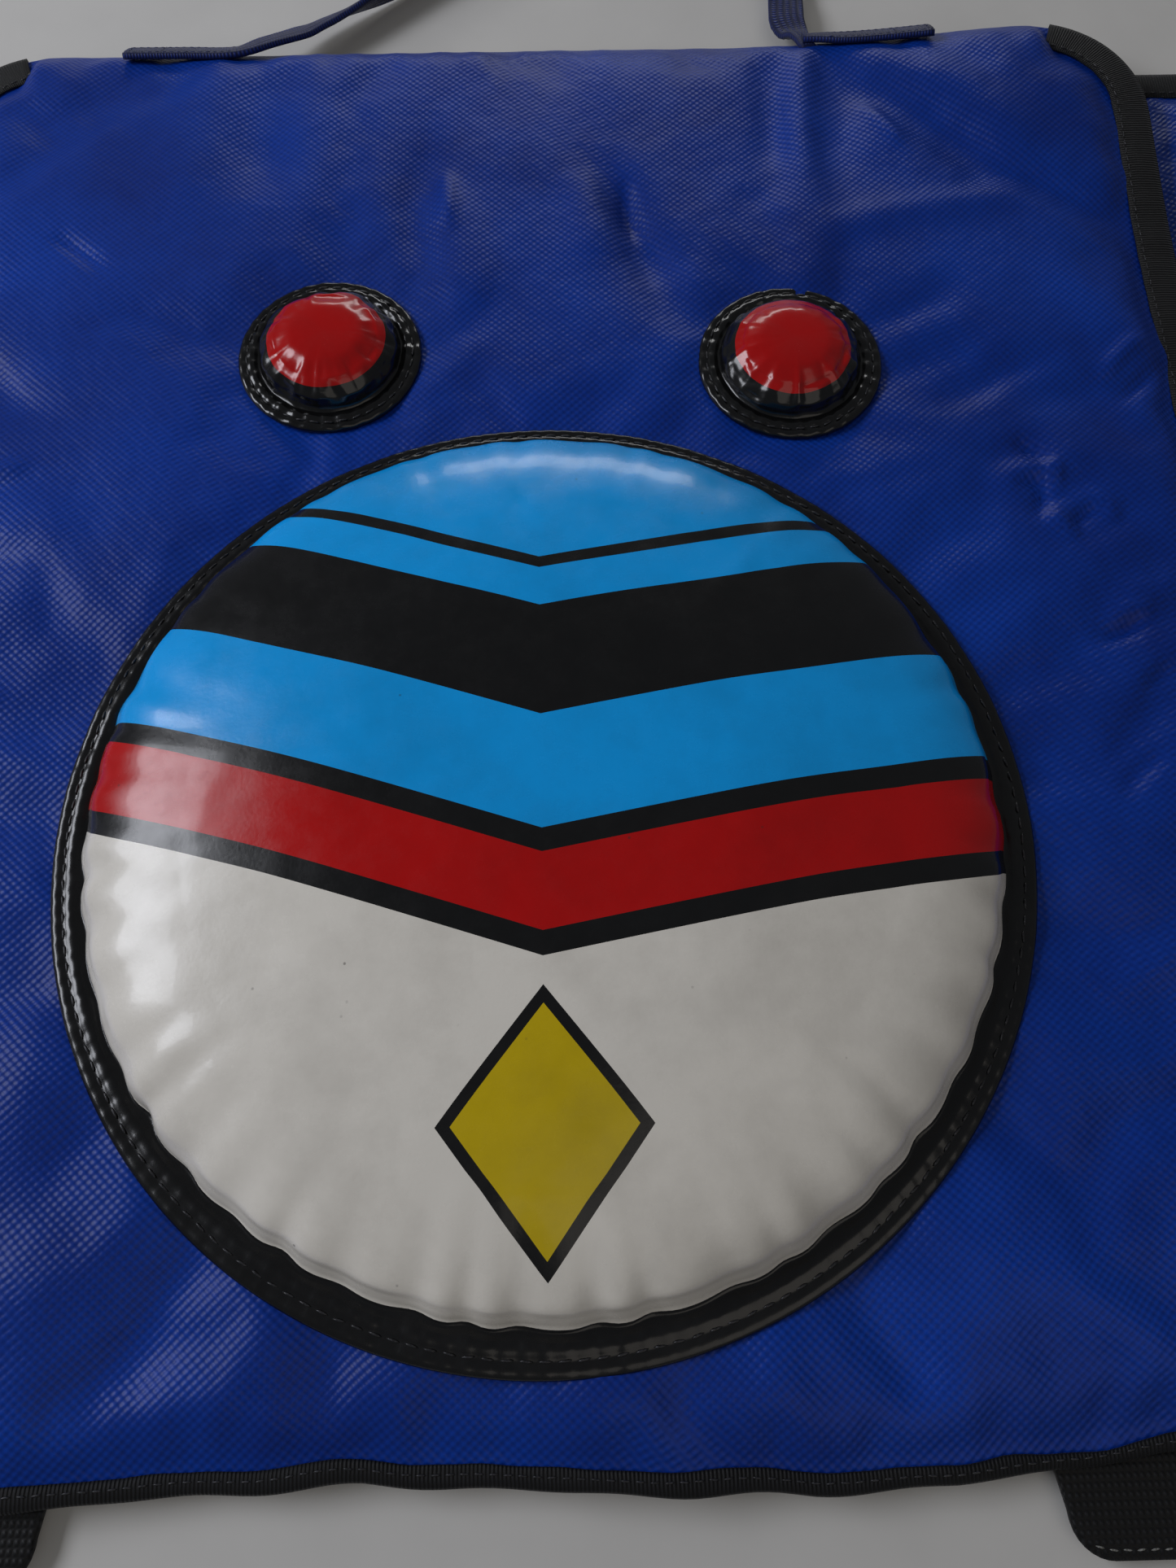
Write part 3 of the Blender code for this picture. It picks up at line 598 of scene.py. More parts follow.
# Creases in the front cloth: start, end, half width and height. A negative height is a
# valley.
CREASES = (
    ((91, 214), (85, 148), 4.2, 2.4), ((87, 155), (80, 104), 8.0, 1.6),
    ((101, 212), (97, 150), 6.0, -1.0), ((80, 212), (74, 150), 6.0, -0.8),
    ((24, 152), (33, 112), 6.0, -2.0), ((33, 118), (44, 92), 7.0, -1.2),
    ((14, 150), (20, 120), 7.0, 1.1),
    ((-26, 140), (-24, 100), 7.0, 1.5), ((-34, 160), (-38, 118), 6.0, -1.1),
    ((-84, 196), (-90, 150), 9.0, -1.3), ((-104, 205), (-112, 150), 9.0, 1.2),
    ((112, 192), (140, 152), 9.0, -1.7), ((126, 196), (158, 160), 9.0, 1.3),
    ((150, 150), (186, 128), 6.0, -1.2), ((96, 128), (150, 142), 5.0, 1.0),
    ((118, 62), (150, 74), 5.0, -1.1), ((104, 92), (128, 104), 5.0, -0.9),
    ((128, 40), (146, 46), 2.6, -1.1), ((132, 33), (150, 36), 2.6, 1.0),
    ((138, 26), (158, 32), 2.8, -1.2), ((146, 45), (158, 40), 2.4, 0.9),
    ((148, 15), (170, 24), 3.6, -1.0), ((160, -6), (184, 4), 3.4, 0.9),
    ((150, -50), (176, -30), 5.0, -1.3), ((158, -72), (186, -58), 4.6, 1.0),
    ((146, -112), (178, -90), 5.0, 1.0), ((148, -138), (182, -122), 5.0, -1.2),
    ((-150, 66), (-182, 92), 7.0, -1.2), ((-140, 20), (-182, 30), 8.0, 1.0),
    ((-150, -60), (-186, -52), 6.0, -1.0), ((-146, -120), (-184, -132), 6.0, 1.1),
    ((-30, -199), (-24, -216), 7.0, -1.5), ((-8, -200), (-4, -217), 7.0, 1.0),
    ((48, -198), (58, -216), 7.0, 1.2), ((78, -192), (92, -216), 7.0, -1.5),
    ((-92, -186), (-108, -214), 8.0, -1.3), ((118, -176), (140, -208), 8.0, 1.2),
    ((-124, -170), (-150, -204), 8.0, 1.0),
)
# Sharp short creases, laid on once the mesh is fine enough for them.
FINE_CREASES = (
    ((139, 46), (147, 39), 1.8, -1.0), ((147, 39), (148, 31), 1.7, 0.9),
    ((137, 33), (147, 33), 1.8, -1.1), ((144, 31), (141, 21), 1.8, -0.9),
    ((144, 22), (150, 14), 1.7, 0.9), ((152, 19), (160, 26), 1.7, -1.0),
    ((158, 26), (164, 22), 1.6, 0.8), ((154, -17), (164, -12), 1.7, -1.0),
    ((157, -11), (168, -8), 1.7, 0.8), ((162, -31), (171, -27), 1.8, -0.8),
    ((151, -62), (162, -52), 2.0, -0.9), ((170, 72), (182, 84), 2.0, 0.9),
    ((174, 64), (186, 74), 1.9, -0.9), ((28, 146), (31, 128), 2.2, -1.1),
    ((-30, 150), (-27, 132), 2.2, 0.9), ((108, 178), (118, 164), 2.2, 0.8),
    ((-136, 118), (-150, 128), 2.1, -0.8), ((-150, 44), (-166, 40), 2.1, 0.8),
    ((-152, -92), (-168, -98), 2.1, -0.9), ((-146, -30), (-160, -24), 2.0, 0.7),
)
# Folds that run out from the big target's rim: direction in degrees, height.
RADIAL_FOLDS = (
    (176, -0.9), (186, 0.9), (196, -1.1), (206, 1.2), (214, -1.6), (223, 1.7), (231, -1.8),
    (240, 1.6), (248, -1.8), (257, 1.5), (265, -1.6), (274, 1.3), (283, -1.5), (293, 1.4),
    (303, -1.5), (314, 1.2), (325, -1.3), (337, 1.0), (349, -1.1), (2, 0.9), (18, -0.8),
)


def crease_height(x, y, creases):
    """The creases' own relief at plan points."""
    total = np.zeros_like(x)
    # shallower on the fold, under the neck strap's sewn ends
    gain = 1.8 - 0.4 * smooth(y, 160, 190)
    for (ax, ay), (bx, by), half, high in creases:
        dx, dy = bx - ax, by - ay
        along = ((x - ax) * dx + (y - ay) * dy) / (dx * dx + dy * dy)
        off = ((x - ax) * dy - (y - ay) * dx) / math.hypot(dx, dy)
        off = off + 0.35 * half * np.sin(3.1 * along + ax)
        ends = smooth(along, -0.35, 0.25) * (1 - smooth(along, 0.7, 1.3))
        total += gain * high * ends * np.exp(-(off / half) ** 2)
    return total


def radial_height(x, y):
    """The relief of the folds round the big target."""
    dx, dy = x - TARGET_CENTRE[0], y - TARGET_CENTRE[1]
    reach, turn = np.hypot(dx, dy), np.degrees(np.arctan2(dy, dx))
    fade = smooth(reach, 121, 127) * (1 - smooth(reach, 132, 168))
    total = np.zeros_like(x)
    for degrees, high in RADIAL_FOLDS:
        off = (turn - degrees + 180) % 360 - 180
        total += high * np.exp(-(off / 3.4) ** 2)
    return 1.15 * total * fade


def padded_cover(name, panel, heights, creases):
    """A panel's padded shell: its woven face, wrinkled and puckered beside the seams, and
    a plain back. heights are the seam's, the face's and the back's."""
    seam_z, face_z, back_z = heights
    seed = panel.seed
    x, y, inset, out_x, out_y = panel_grid(*panel.outline, panel.radii, COVER_GRID)
    sewn, rise = panel.flange(out_x, out_y), panel.slope(out_x, out_y)
    climb = np.clip((inset - sewn) / rise, 0, 1)
    crown = 1 - (1 - climb) ** 2.2          # steep beside the seam, then rounding over
    lift = curl(x, y) if panel.is_front else 0.0
    folds = radial_height(x, y) if panel.is_front else 0
    relief = smooth(inset, 2, 26) * (
        folds + 1.1 * ripple(x, y, 62, seed) + 0.55 * ripple(x, y, 26, seed + 7)
        + 0.22 * ripple(x, y, 11, seed + 13) + crease_height(x, y, creases)
    )
    # small gathers run in from the binding, where the tape was pulled on
    around = np.where(np.abs(out_x) > np.abs(out_y), y, x)
    gathers = smooth(inset, sewn - 2, sewn + 3) * (1 - smooth(inset, sewn + 4, sewn + 22))
    relief += 1.15 * gathers * ripple(around, inset * 0.25, 6.5, seed + 21)
    upper_z = seam_z + (face_z - seam_z) * crown + relief + lift
    lowest, highest = seam_z + 0.35 + lift, face_z + 4.5 + lift
    upper_z = np.maximum(upper_z, lowest)
    uv = np.stack([x, y], axis=-1)
    held = inset < sewn + 0.5
    if panel.is_front:
        held |= under_targets(x, y)
        x, y = settle(x, y)
    upper = np.stack([x, y, upper_z], axis=-1)
    swollen = puff_up(
        upper.reshape(-1, 3), grid_faces(*x.shape), held.ravel(), frames=16,
        pressure=0.6, grow=0.012, cap=3.0, bending=0.8,
    ).reshape(upper.shape)
    swollen[..., 2] = np.clip(swollen[..., 2], lowest, highest)
    inner = np.clip((inset - sewn - 1.0) / rise, 0, 1)
    lower_z = seam_z - 0.3 - (seam_z - 0.3 - back_z) * inner * inner * (3 - 2 * inner) + lift
    lower = np.stack([x, y, lower_z], axis=-1)
    piece = subdivide(closed_pad(name, swollen, lower, uv, BLUE))
    if panel.is_front:
        add_fine_creases(piece.data)
    return piece


def add_fine_creases(mesh):
    """Moves the upper side of the finished front cover into its sharpest creases."""
    where, facing = np.empty(len(mesh.vertices) * 3), np.empty(len(mesh.vertices) * 3)
    mesh.vertices.foreach_get("co", where)
    mesh.vertices.foreach_get("normal", facing)
    where = where.reshape(-1, 3)
    upper_side = smooth(facing.reshape(-1, 3)[:, 2], 0.3, 0.6)
    where[:, 2] += upper_side * MM * 1.2 * crease_height(
        where[:, 0] / MM, where[:, 1] / MM, FINE_CREASES)
    mesh.vertices.foreach_set("co", where.ravel())
    mesh.update()


def under_targets(x, y):
    """Where a target is sewn through the front panel's cloth."""
    held = np.hypot(x - TARGET_CENTRE[0], y - TARGET_CENTRE[1]) < TARGET_RADIUS - 3
    for centre in SMALL_CENTRES.values():
        held |= np.hypot(x - centre[0], y - centre[1]) < SMALL_RADIUS - 2
    return held


def lining_sheet(name, panel, seam_z, back_z):
    """The plain cloth on a panel's back, with a little slack."""
    x, y, inset, out_x, out_y = panel_grid(*panel.outline, panel.radii, LINING_GRID)
    sewn, rise = panel.flange(out_x, out_y), panel.slope(out_x, out_y)
    climb = smooth((inset - sewn) / rise, 0, 1)
    lift = curl(x, y) if panel.is_front else 0.0
    z = seam_z - (seam_z - back_z) * climb + lift
    slack = 0.12 * (1 + ripple(x, y, 30, panel.seed + 31)) * smooth(inset, 4, 30)
    uv = np.stack([x, y], axis=-1)
    if panel.is_front:
        x, y = settle(x, y)
    upper = np.stack([x, y, z + 0.75], axis=-1)
    lower = np.stack([x, y, np.maximum(z + slack * (1 - climb * 0.5), 0.1)], axis=-1)
    return subdivide(closed_pad(name, upper, lower, uv, LINING))


def front_flange(out_x, out_y):
    """The front panel's flat border: wide at the sides, narrow at the bottom and hardly
    any at the top, where the shell is folded over."""
    side = SIDE_FLANGE + (BOTTOM_FLANGE - SIDE_FLANGE) * smooth(-out_y, 0.55, 0.97)
    return side + (FOLD_FLANGE - side) * smooth(out_y, 0.9, 0.985)


def front_slope(out_x, out_y):
    """How far in the front panel's pad climbs, beside its flat border."""
    return SLOPE + (FOLD_SLOPE - SLOPE) * smooth(out_y, 0.9, 0.985)


def wing_flange(out_x, out_y):
    """A wing's flat border, the same all round."""
    return np.full_like(out_x, WING_FLANGE)


def wing_slope(out_x, out_y):
    """How far in a wing's pad climbs."""
    return np.full_like(out_x, WING_SLOPE)


# ---------------------------------------------------------------- binding tape
def outline_path(left, right, bottom, top, radii, step=2.6):
    """Points round a rounded rectangle, anticlockwise from the middle of its top edge,
    with the outward direction at each."""
    found = []
    corners = ((left, top, -1, 1, 90, radii[3]), (left, bottom, -1, -1, 180, radii[0]),
               (right, bottom, 1, -1, 270, radii[1]), (right, top, 1, 1, 0, radii[2]))
    for corner_x, corner_y, sign_x, sign_y, start, radius in corners:
        centre_x, centre_y = corner_x - sign_x * radius, corner_y - sign_y * radius
        count = max(3, int(radius * math.pi / 2 / step))
        for i in range(count + 1):
            angle = math.radians(start + 90 * i / count)
            out = (math.cos(angle), math.sin(angle))
            found.append((centre_x + radius * out[0], centre_y + radius * out[1], *out))
    path = []
    for a, b in zip(found, found[1:] + found[:1]):
        gap = math.hypot(b[0] - a[0], b[1] - a[1])
        parts = max(1, int(gap / step))
        path += [tuple(p + (q - p) * i / parts for p, q in zip(a, b)) for i in range(parts)]
    return path


def binding_tape(name, path, seam_z, reach, seed, lift=None):
    """Tape folded over a sewn edge along an open path: (x, y, out x, out y) each. reach
    gives how far in it covers."""
    x, y, out_x, out_y = np.array(path).T
    steps = np.hypot(np.diff(x), np.diff(y))
    run = np.concatenate([[0], np.cumsum(steps)])
    inner = reach(x, y, out_x, out_y) + 0.45 * ripple(run, 0, 9, seed)
    pull = 0.22 * ripple(run, 3, 6.5, seed + 4)
    bulge = 0.25 + 0.3 * ripple(run, 5, 15, seed + 8)
    raised = lift(x, y) if lift else np.zeros_like(x)
    top, bottom = seam_z + 1.35, seam_z - 2.45
    rings = []
    for i in range(len(x)):
        w = inner[i]
        # how far out, height, share of the ripple
        section = [
            (-w, top - 0.35, 0.6), (-w + 0.15, top - 0.02, 1),
            (-w * 0.82, top + bulge[i] * 0.5, 1), (-w * 0.6, top + bulge[i], 1),
            (-w * 0.35, top + bulge[i] * 0.7, 1), (-w * 0.12, top + 0.1, 0.6),
            (0.45, top - 0.35, 0.3), (0.95, top - 1.2, 0), (0.95, bottom + 0.9, 0),
            (0.5, bottom + 0.2, 0), (-0.5, bottom, 0), (-w * 0.5, bottom, 0.4),
            (-w + 0.2, bottom, 0.4), (-w, bottom + 0.25, 0.4),
            (-w + 0.2, bottom + 0.65, 0.4), (-0.6, bottom + 0.65, 0),
            (0.1, bottom + 1.2, 0), (0.1, top - 1.3, 0), (-0.6, top - 0.65, 0.3),
            (-w + 0.2, top - 0.66, 0.6),
        ]
        rings.append([
            (x[i] + out_x[i] * out, y[i] + out_y[i] * out, z + share * pull[i] + raised[i])
            for out, z, share in section])
    lengths = np.hypot(*np.diff(np.array([s[:2] for s in section]).T))
    return swept(name, rings, run, np.concatenate([[0], np.cumsum(lengths)]), BLACK_TAPE)


# ---------------------------------------------------------------- puffed targets
def target(name, centre, radius, puff_radius, puff_height, folds, material, spokes, seed):
    """A puffed vinyl target: a domed cover gathered into a flat stitched rim. folds is
    (spacing, depth) of the gathers along the seam."""
    inner = np.concatenate([
        np.linspace(0, 0.72, 22)[1:], np.linspace(0.72, 1.0, 26)[1:]]) * puff_radius
    rim = radius - puff_radius
    rim_shape = [   # distance beyond the puff, height over the base
        (0.05, 1.45), (0.12, 1.6), (0.2, 2.0), (0.3, 2.3), (0.4, 2.3), (0.5, 2.05), (0.57, 1.8),
        (0.64, 1.85), (0.74, 2.05), (0.84, 2.05), (0.93, 1.8), (0.98, 1.4), (1.0, 0.9),
        (0.985, 0.3), (0.95, 0.0),
    ]
    angle = np.arange(spokes) * 2 * math.pi / spokes
    arc = angle * puff_radius
    ring_x, ring_y = np.cos(angle) * 40, np.sin(angle) * 40
    # gathers: none at the top of the target, strongest at the bottom and sides
    strength = 0.35 + 0.65 * smooth(-np.sin(angle), -0.75, 0.35)
    spacing, depth = folds
    phase = arc / spacing * 2 * math.pi + 3.2 * ripple(ring_x, ring_y, 9.0, seed)
    fold = (0.5 - 0.5 * np.cos(phase)) ** 1.3
    fold = fold * (0.55 + 0.45 * ripple(ring_x, ring_y, 5.0, seed + 3))
    lean = PUFF_LEAN * radius
    seam_z = TARGET_BASE_Z + 1.5
    # for each ring: its radius, its height, its radius on the flat sheet, its share of
    # the lean
    rows = []
    for r in inner:
        share = r / puff_radius
        near = np.exp(-((1 - share) * puff_radius / (spacing * 0.75)) ** 1.3)
        # a soft dome that stands up steeply from its seam
        dome = (1 - share ** 3.6) ** 0.5
        z = seam_z + puff_height * dome
        z = z - depth * strength * fold * near * min(1.0, (1 - share) * 14 + 0.25)
        # the side bulges out over the seam, less where it is gathered
        bulge = 0.034 * smooth(share, 0.55, 0.9) * (1 - smooth(share, 0.93, 1.0))
        drift = 1.0 + bulge - depth * 0.55 * strength * fold * near / puff_radius
        rows.append((r * drift, z, r, 1.0))
    for out, high in rim_shape:
        swell = 1 + 0.08 * np.sin(arc / 4.3 * 2 * math.pi) * (0.15 < out < 0.95)
        wavy = 0.3 * ripple(ring_x * 2, ring_y * 2, 7.0, seed + 5) * (0.1 < out < 1.0)
        tuck = depth * 0.3 * strength * fold * max(0.0, 1 - out * 2.2)
        rows.append((
            puff_radius + rim * out - tuck, TARGET_BASE_Z + high * swell + wavy,
            puff_radius + rim * min(out, 1.0), 1 - out))
    points, uv = [], []
    for r, z, flat, leaning in rows:
        r, z = np.broadcast_to(r, spokes), np.broadcast_to(z, spokes)
        points.append(np.stack([
            centre[0] + r * np.cos(angle),
            centre[1] + r * np.sin(angle) + lean * leaning, z], axis=-1))
        uv.append(np.stack([flat * np.cos(angle), flat * np.sin(angle)], axis=-1))
    points, uv = np.concatenate(points), np.concatenate(uv)
    count = len(rows)
    everything = np.concatenate([
        points, [[centre[0], centre[1] + lean, seam_z + puff_height],
                 [centre[0], centre[1], TARGET_BASE_Z]]])
    faces = [quad[::-1] for quad in grid_faces(count, spokes, closed=True)]
    top, base = count * spokes, count * spokes + 1
    faces += [(top, k, (k + 1) % spokes) for k in range(spokes)]
    last = (count - 1) * spokes
    faces += [(base, last + (k + 1) % spokes, last + k) for k in range(spokes)]
    moving = len(inner) * spokes
    sheet = np.concatenate([everything[:moving], everything[top:top + 1]])
    cap_faces = grid_faces(len(inner), spokes, flip=True, closed=True)
    cap_faces += [(moving, k, (k + 1) % spokes) for k in range(spokes)]
    held = np.zeros(moving + 1, bool)
    held[(len(inner) - 1) * spokes:moving] = True
    swollen = puff_up(sheet, cap_faces, held, frames=12, pressure=0.8, grow=0.006,
                      cap=1.6, bending=1.5)
    # the middle keeps the plain dome, where the gathers don't reach
    share = np.repeat(inner / puff_radius, spokes)
    weight = smooth(share, 0.45, 0.75)[:, None]
    move = ((swollen[:moving] - everything[:moving]) * weight).reshape(-1, spokes, 3)
    for _ in range(3):
        move = (move * 2 + np.roll(move, 1, 1) + np.roll(move, -1, 1)) / 4
        move[1:-1] = (move[1:-1] * 2 + move[:-2] + move[2:]) / 4
    everything[:moving] += move.reshape(-1, 3)
    piece = make_piece(name, everything, faces, np.concatenate([uv, [[0, 0], [0, 0]]]), material)
    return face_outwards(piece)


# ---------------------------------------------------------------- straps
def path_through(points, tilts, step=2.4):
    """A smooth path through points, with a tilt at each, in even steps."""
    points = np.array(points, float)
    last = len(points) - 1
    chords = np.linalg.norm(np.diff(points, axis=0), axis=1)
    heads = [
        (points[min(last, i + 1)] - points[max(0, i - 1)])
        / chords[max(0, i - 1):min(last, i + 1)].sum() for i in range(last + 1)
    ]
    dense = []
    for i in range(last):
        for t in np.arange(0, 1, 0.02):
            share = t * t * (3 - 2 * t)
            leave, arrive = t * (1 - t) ** 2 * chords[i], t * t * (t - 1) * chords[i]
            at = (points[i] + (points[i + 1] - points[i]) * share + heads[i] * leave
                  + heads[i + 1] * arrive)
            dense.append((*at, tilts[i] + (tilts[i + 1] - tilts[i]) * share))
    dense.append((*points[-1], tilts[-1]))
    dense = np.array(dense)
    run = np.concatenate([[0], np.cumsum(np.linalg.norm(np.diff(dense[:, :3], axis=0), axis=1))])
    even = np.linspace(0, run[-1], int(run[-1] / step) + 1)
    return np.stack([np.interp(even, run, dense[:, k]) for k in range(4)], axis=-1), even


def strap(name, stations, run, width, thickness, material, seed, narrow=1.0):
    """A flat folded strap along stations of x, y, z and tilt. At tilt 0 it stands on its
    edge. Its faces have a soft ridge at each fold and a groove along the stitching. narrow
    is the share of its width left at each station, where it is pinched together."""
    centre = stations[:, :3]
    ahead = np.gradient(centre, axis=0)
    ahead /= np.linalg.norm(ahead, axis=1, keepdims=True)
    up = np.array([0, 0, 1.0]) - ahead * ahead[:, 2:3]
    up /= np.linalg.norm(up, axis=1, keepdims=True)
    side = np.cross(ahead, up)
    tilt = stations[:, 3:4]
    wide = np.cos(tilt) * up + np.sin(tilt) * side
    thin = np.cross(ahead, wide)
    h, t = width / 2, thickness / 2
    section = []
    for share in (-0.97, -0.86, -0.7, -0.5, -0.25, 0, 0.25, 0.5, 0.7, 0.86, 0.97):
        groove = 0.22 * math.exp(-((abs(share) - 0.7) / 0.1) ** 2)
        section.append((share * h, t * (1.0 - groove - 0.35 * abs(share) ** 8)))
    section += [(h, 0.45 * t), (h, -0.45 * t)]
    section += [(a, -b) for a, b in section[10::-1]]
    section += [(-h, -0.45 * t), (-h, 0.45 * t)]
    a, b = np.array(section).T
    pinch = (1 + 0.05 * ripple(run, 2, 20, seed + 2)) * narrow
    points = (
        centre[:, None] + wide[:, None] * (a[None, :, None] * pinch[:, None, None])
        + thin[:, None] * b[None, :, None]
    )
    across = np.concatenate([[0], np.cumsum(np.hypot(np.diff(a), np.diff(b)))])
    return swept(name, points, run, across, material)


def neck_route():
    """The neck strap's course: sewn end, up over the fold, round its loop on the table and
    back to the other sewn end."""
    def leaving(crossing, heading, by, z=LIE_Z):
        return (crossing + by * math.cos(heading), BEND_Y + by * math.sin(heading), z)

    def tab(x):
        return (x, TAB_Y, TAB_Z + float(curl(x, CURL_Y)))

    right, left = math.radians(38), math.radians(104)
    flat = math.pi / 2 - TAB_LEAN
    lying = math.pi / 2
    route = [(tab(-139), flat), (tab(-120), flat), (tab(-102), flat),
             ((-92.5, 218.6, 11.3), 0.72 * lying), (leaving(-79, right, -4, 8.6), 0.74 * lying),
             (leaving(-79, right, 4, 7.6), 0.66 * lying)]
    loop = [(-47, 37), (-17, 62), (9, 91), (27, 122), (43, 150), (66, 172), (93, 181),
            (117, 172), (130, 147), (126, 113), (110, 80), (92, 47)]
    for i, (x, y) in enumerate(loop):
        near = min(i, len(loop) - 1 - i)
        share = {0: 0.3 if i == 0 else 0.6, 1: 0.1 if i == 1 else 0.2}.get(near, 0)
        route.append(((x, 217 + y, LIE_Z), share * lying))
    lift = float(curl(91, CURL_Y))
    route += [(leaving(89, left, 4), lying), (leaving(89, left, -4), lying),
              ((90.6, 220.0, 9.5 + lift), lying), ((91.8, 213.0, 11.6 + lift), lying),
              ((92.6, 208.8, 13.0 + lift), lying)]
    return [p for p, _ in route], [t for _, t in route]


def waist_strap(side, name, patch_name, patch_below, patch_material):
    """A webbing strap that leaves from under the panel's bottom edge and comes down to
    the table, with a closure patch near its end."""
    length, width, corner, top_y = WAIST_LENGTH, 28.0, 9.0, -207.0
    bottom_y = top_y - width
    root_z, rest_z = 3.5, (2.7 if patch_below else 1.2)
    tail = 12.0                             # sewn in under the panel
    along = np.concatenate([
        np.linspace(-tail, 0, 6)[:-1], corner * (1 - np.cos(np.radians(np.linspace(0, 90, 9)))),
        np.linspace(corner, length - corner, 70)[1:-1],
        length - corner * (1 - np.cos(np.radians(np.linspace(90, 0, 9))))])
    near = np.maximum(0, corner - np.minimum(np.maximum(along, 0), length - along))
    narrow = corner - np.sqrt(np.maximum(0, corner ** 2 - near ** 2))
    low = np.where(along < -0.01, top_y - 7.5, bottom_y + narrow)
    high = np.where(along < -0.01, top_y - 0.5, top_y - narrow * (along > 20))
    share = smooth(along, 20, 50)
    z = root_z + (rest_z - root_z) * share
    slack = 0.25 * smooth(along, 40, 70) * (1 + ripple(along, 0, 30, 50 + side))
    section = []
    for u in (0.0, 0.035, 0.09, 0.2, 0.35, 0.5, 0.65, 0.8, 0.91, 0.965, 1.0):
        section.append((u, 1.15 * (1 - abs(2 * u - 1) ** 14 * 0.7)))
    section += [(u, -h) for u, h in section[::-1]]
    u, h = np.array(section).T
    x = side * (WAIST_ROOT_X + along)
    y = low[:, None] + (high - low)[:, None] * u[None, :]
    zz = z[:, None] + h[None, :] + np.where(h > 0, 1, 0.0)[None, :] * slack[:, None] * 0.4
    points = np.stack([np.repeat(x[:, None], len(u), 1), y, zz], axis=-1)
    piece = swept(name, points, along, y, WEBBING)
    # the patch: soft edged, sewn 8 mm from the strap's end
    half = 30.0
    patch_x = side * (WAIST_ROOT_X + length - 8 - half)
    patch_z = 0.62 if patch_below else 3.3
    gx, gy, inset, *_ = panel_grid(
        patch_x - half, patch_x + half, bottom_y + 3, top_y - 3, (2.0,) * 4, 2.0)
    edge = smooth(inset, 0, 1.4)
    upper = np.stack([gx, gy, patch_z + 0.15 + 0.43 * edge], axis=-1)
    lower = np.stack([gx, gy, patch_z - 0.15 - 0.43 * edge], axis=-1)
    patch = closed_pad(patch_name, upper, lower, np.stack([gx, gy], axis=-1), patch_material)
    return piece, patch, (x, low, high)


# ---------------------------------------------------------------- stitches
def stitch_tree(name):
    """Geometry Nodes that lay a running stitch of short threads along a seam line."""
    tree = bpy.data.node_groups.new(name, "GeometryNodeTree")
    face = tree.interface
    face.new_socket("Seam", in_out="INPUT", socket_type="NodeSocketGeometry")
    face.new_socket("Pitch", in_out="INPUT", socket_type="NodeSocketFloat")
    face.new_socket("Stitch length", in_out="INPUT", socket_type="NodeSocketFloat")
    face.new_socket("Thread radius", in_out="INPUT", socket_type="NodeSocketFloat")
    face.new_socket("Thread", in_out="INPUT", socket_type="NodeSocketMaterial")
    face.new_socket("Stitches", in_out="OUTPUT", socket_type="NodeSocketGeometry")
    given = add(tree, "NodeGroupInput")
    line = add(tree, "GeometryNodeMeshToCurve", {0: given.outputs["Seam"]})
    even = add(tree, "GeometryNodeResampleCurve", {
        "Curve": line.outputs[0], "Length": given.outputs["Pitch"]}, mode="LENGTH")
    bead = add(tree, "GeometryNodeMeshUVSphere", {"Segments": 6, "Rings": 5, "Radius": 1.0})
    half = add(tree, "ShaderNodeMath", {0: given.outputs["Stitch length"], 1: 0.5},
               operation="MULTIPLY")
    size = add(tree, "ShaderNodeCombineXYZ", {
        0: half.outputs[0], 1: given.outputs["Thread radius"], 2: given.outputs["Thread radius"]})
    ahead = add(tree, "GeometryNodeInputTangent")
    aim = add(tree, "FunctionNodeAlignEulerToVector", {"Vector": ahead.outputs[0]}, axis="X")
    # each stitch leans a little across the seam, as a lock stitch does
    lean = add(tree, "FunctionNodeRandomValue", {
        "Min": (0, -0.05, -0.1), "Max": (0, 0.05, 0.16), "Seed": 7}, data_type="FLOAT_VECTOR")
    turned = add(tree, "FunctionNodeRotateEuler", {
        "Rotation": aim.outputs[0], "Rotate By": lean.outputs[0]}, space="LOCAL")
    threads = add(tree, "GeometryNodeInstanceOnPoints", {
        "Points": even.outputs[0], "Instance": bead.outputs[0], "Rotation": turned.outputs[0],
        "Scale": size.outputs[0]})
    real = add(tree, "GeometryNodeRealizeInstances", {0: threads.outputs[0]})
    soft = add(tree, "GeometryNodeSetShadeSmooth", {0: real.outputs[0]})
    finish = add(tree, "GeometryNodeSetMaterial", {
        "Geometry": soft.outputs[0], "Material": given.outputs["Thread"]})
    add(tree, "NodeGroupOutput", {0: finish.outputs[0]})
    return tree


RUNNING_STITCH = stitch_tree("running_stitch")


def drop_on(trees, x, y, above):
    """Heights a little above the topmost surface under plan points."""
    heights = []
    for a, b in zip(x, y):
        hit = -1e9
        for tree in trees:
            at = tree.ray_cast(Vector((a * MM, b * MM, 0.2)), Vector((0, 0, -1)))[0]
            if at is not None:
                hit = max(hit, at.z / MM)
        heights.append(hit if hit > -1e8 else (heights[-1] if heights else 0.0))
    return np.array(heights) + above


def surface(piece):
    """A piece's mesh, ready for finding heights on it."""
    mesh = piece.data
    return BVHTree.FromPolygons(
        [v.co for v in mesh.vertices], [p.vertices[:] for p in mesh.polygons])


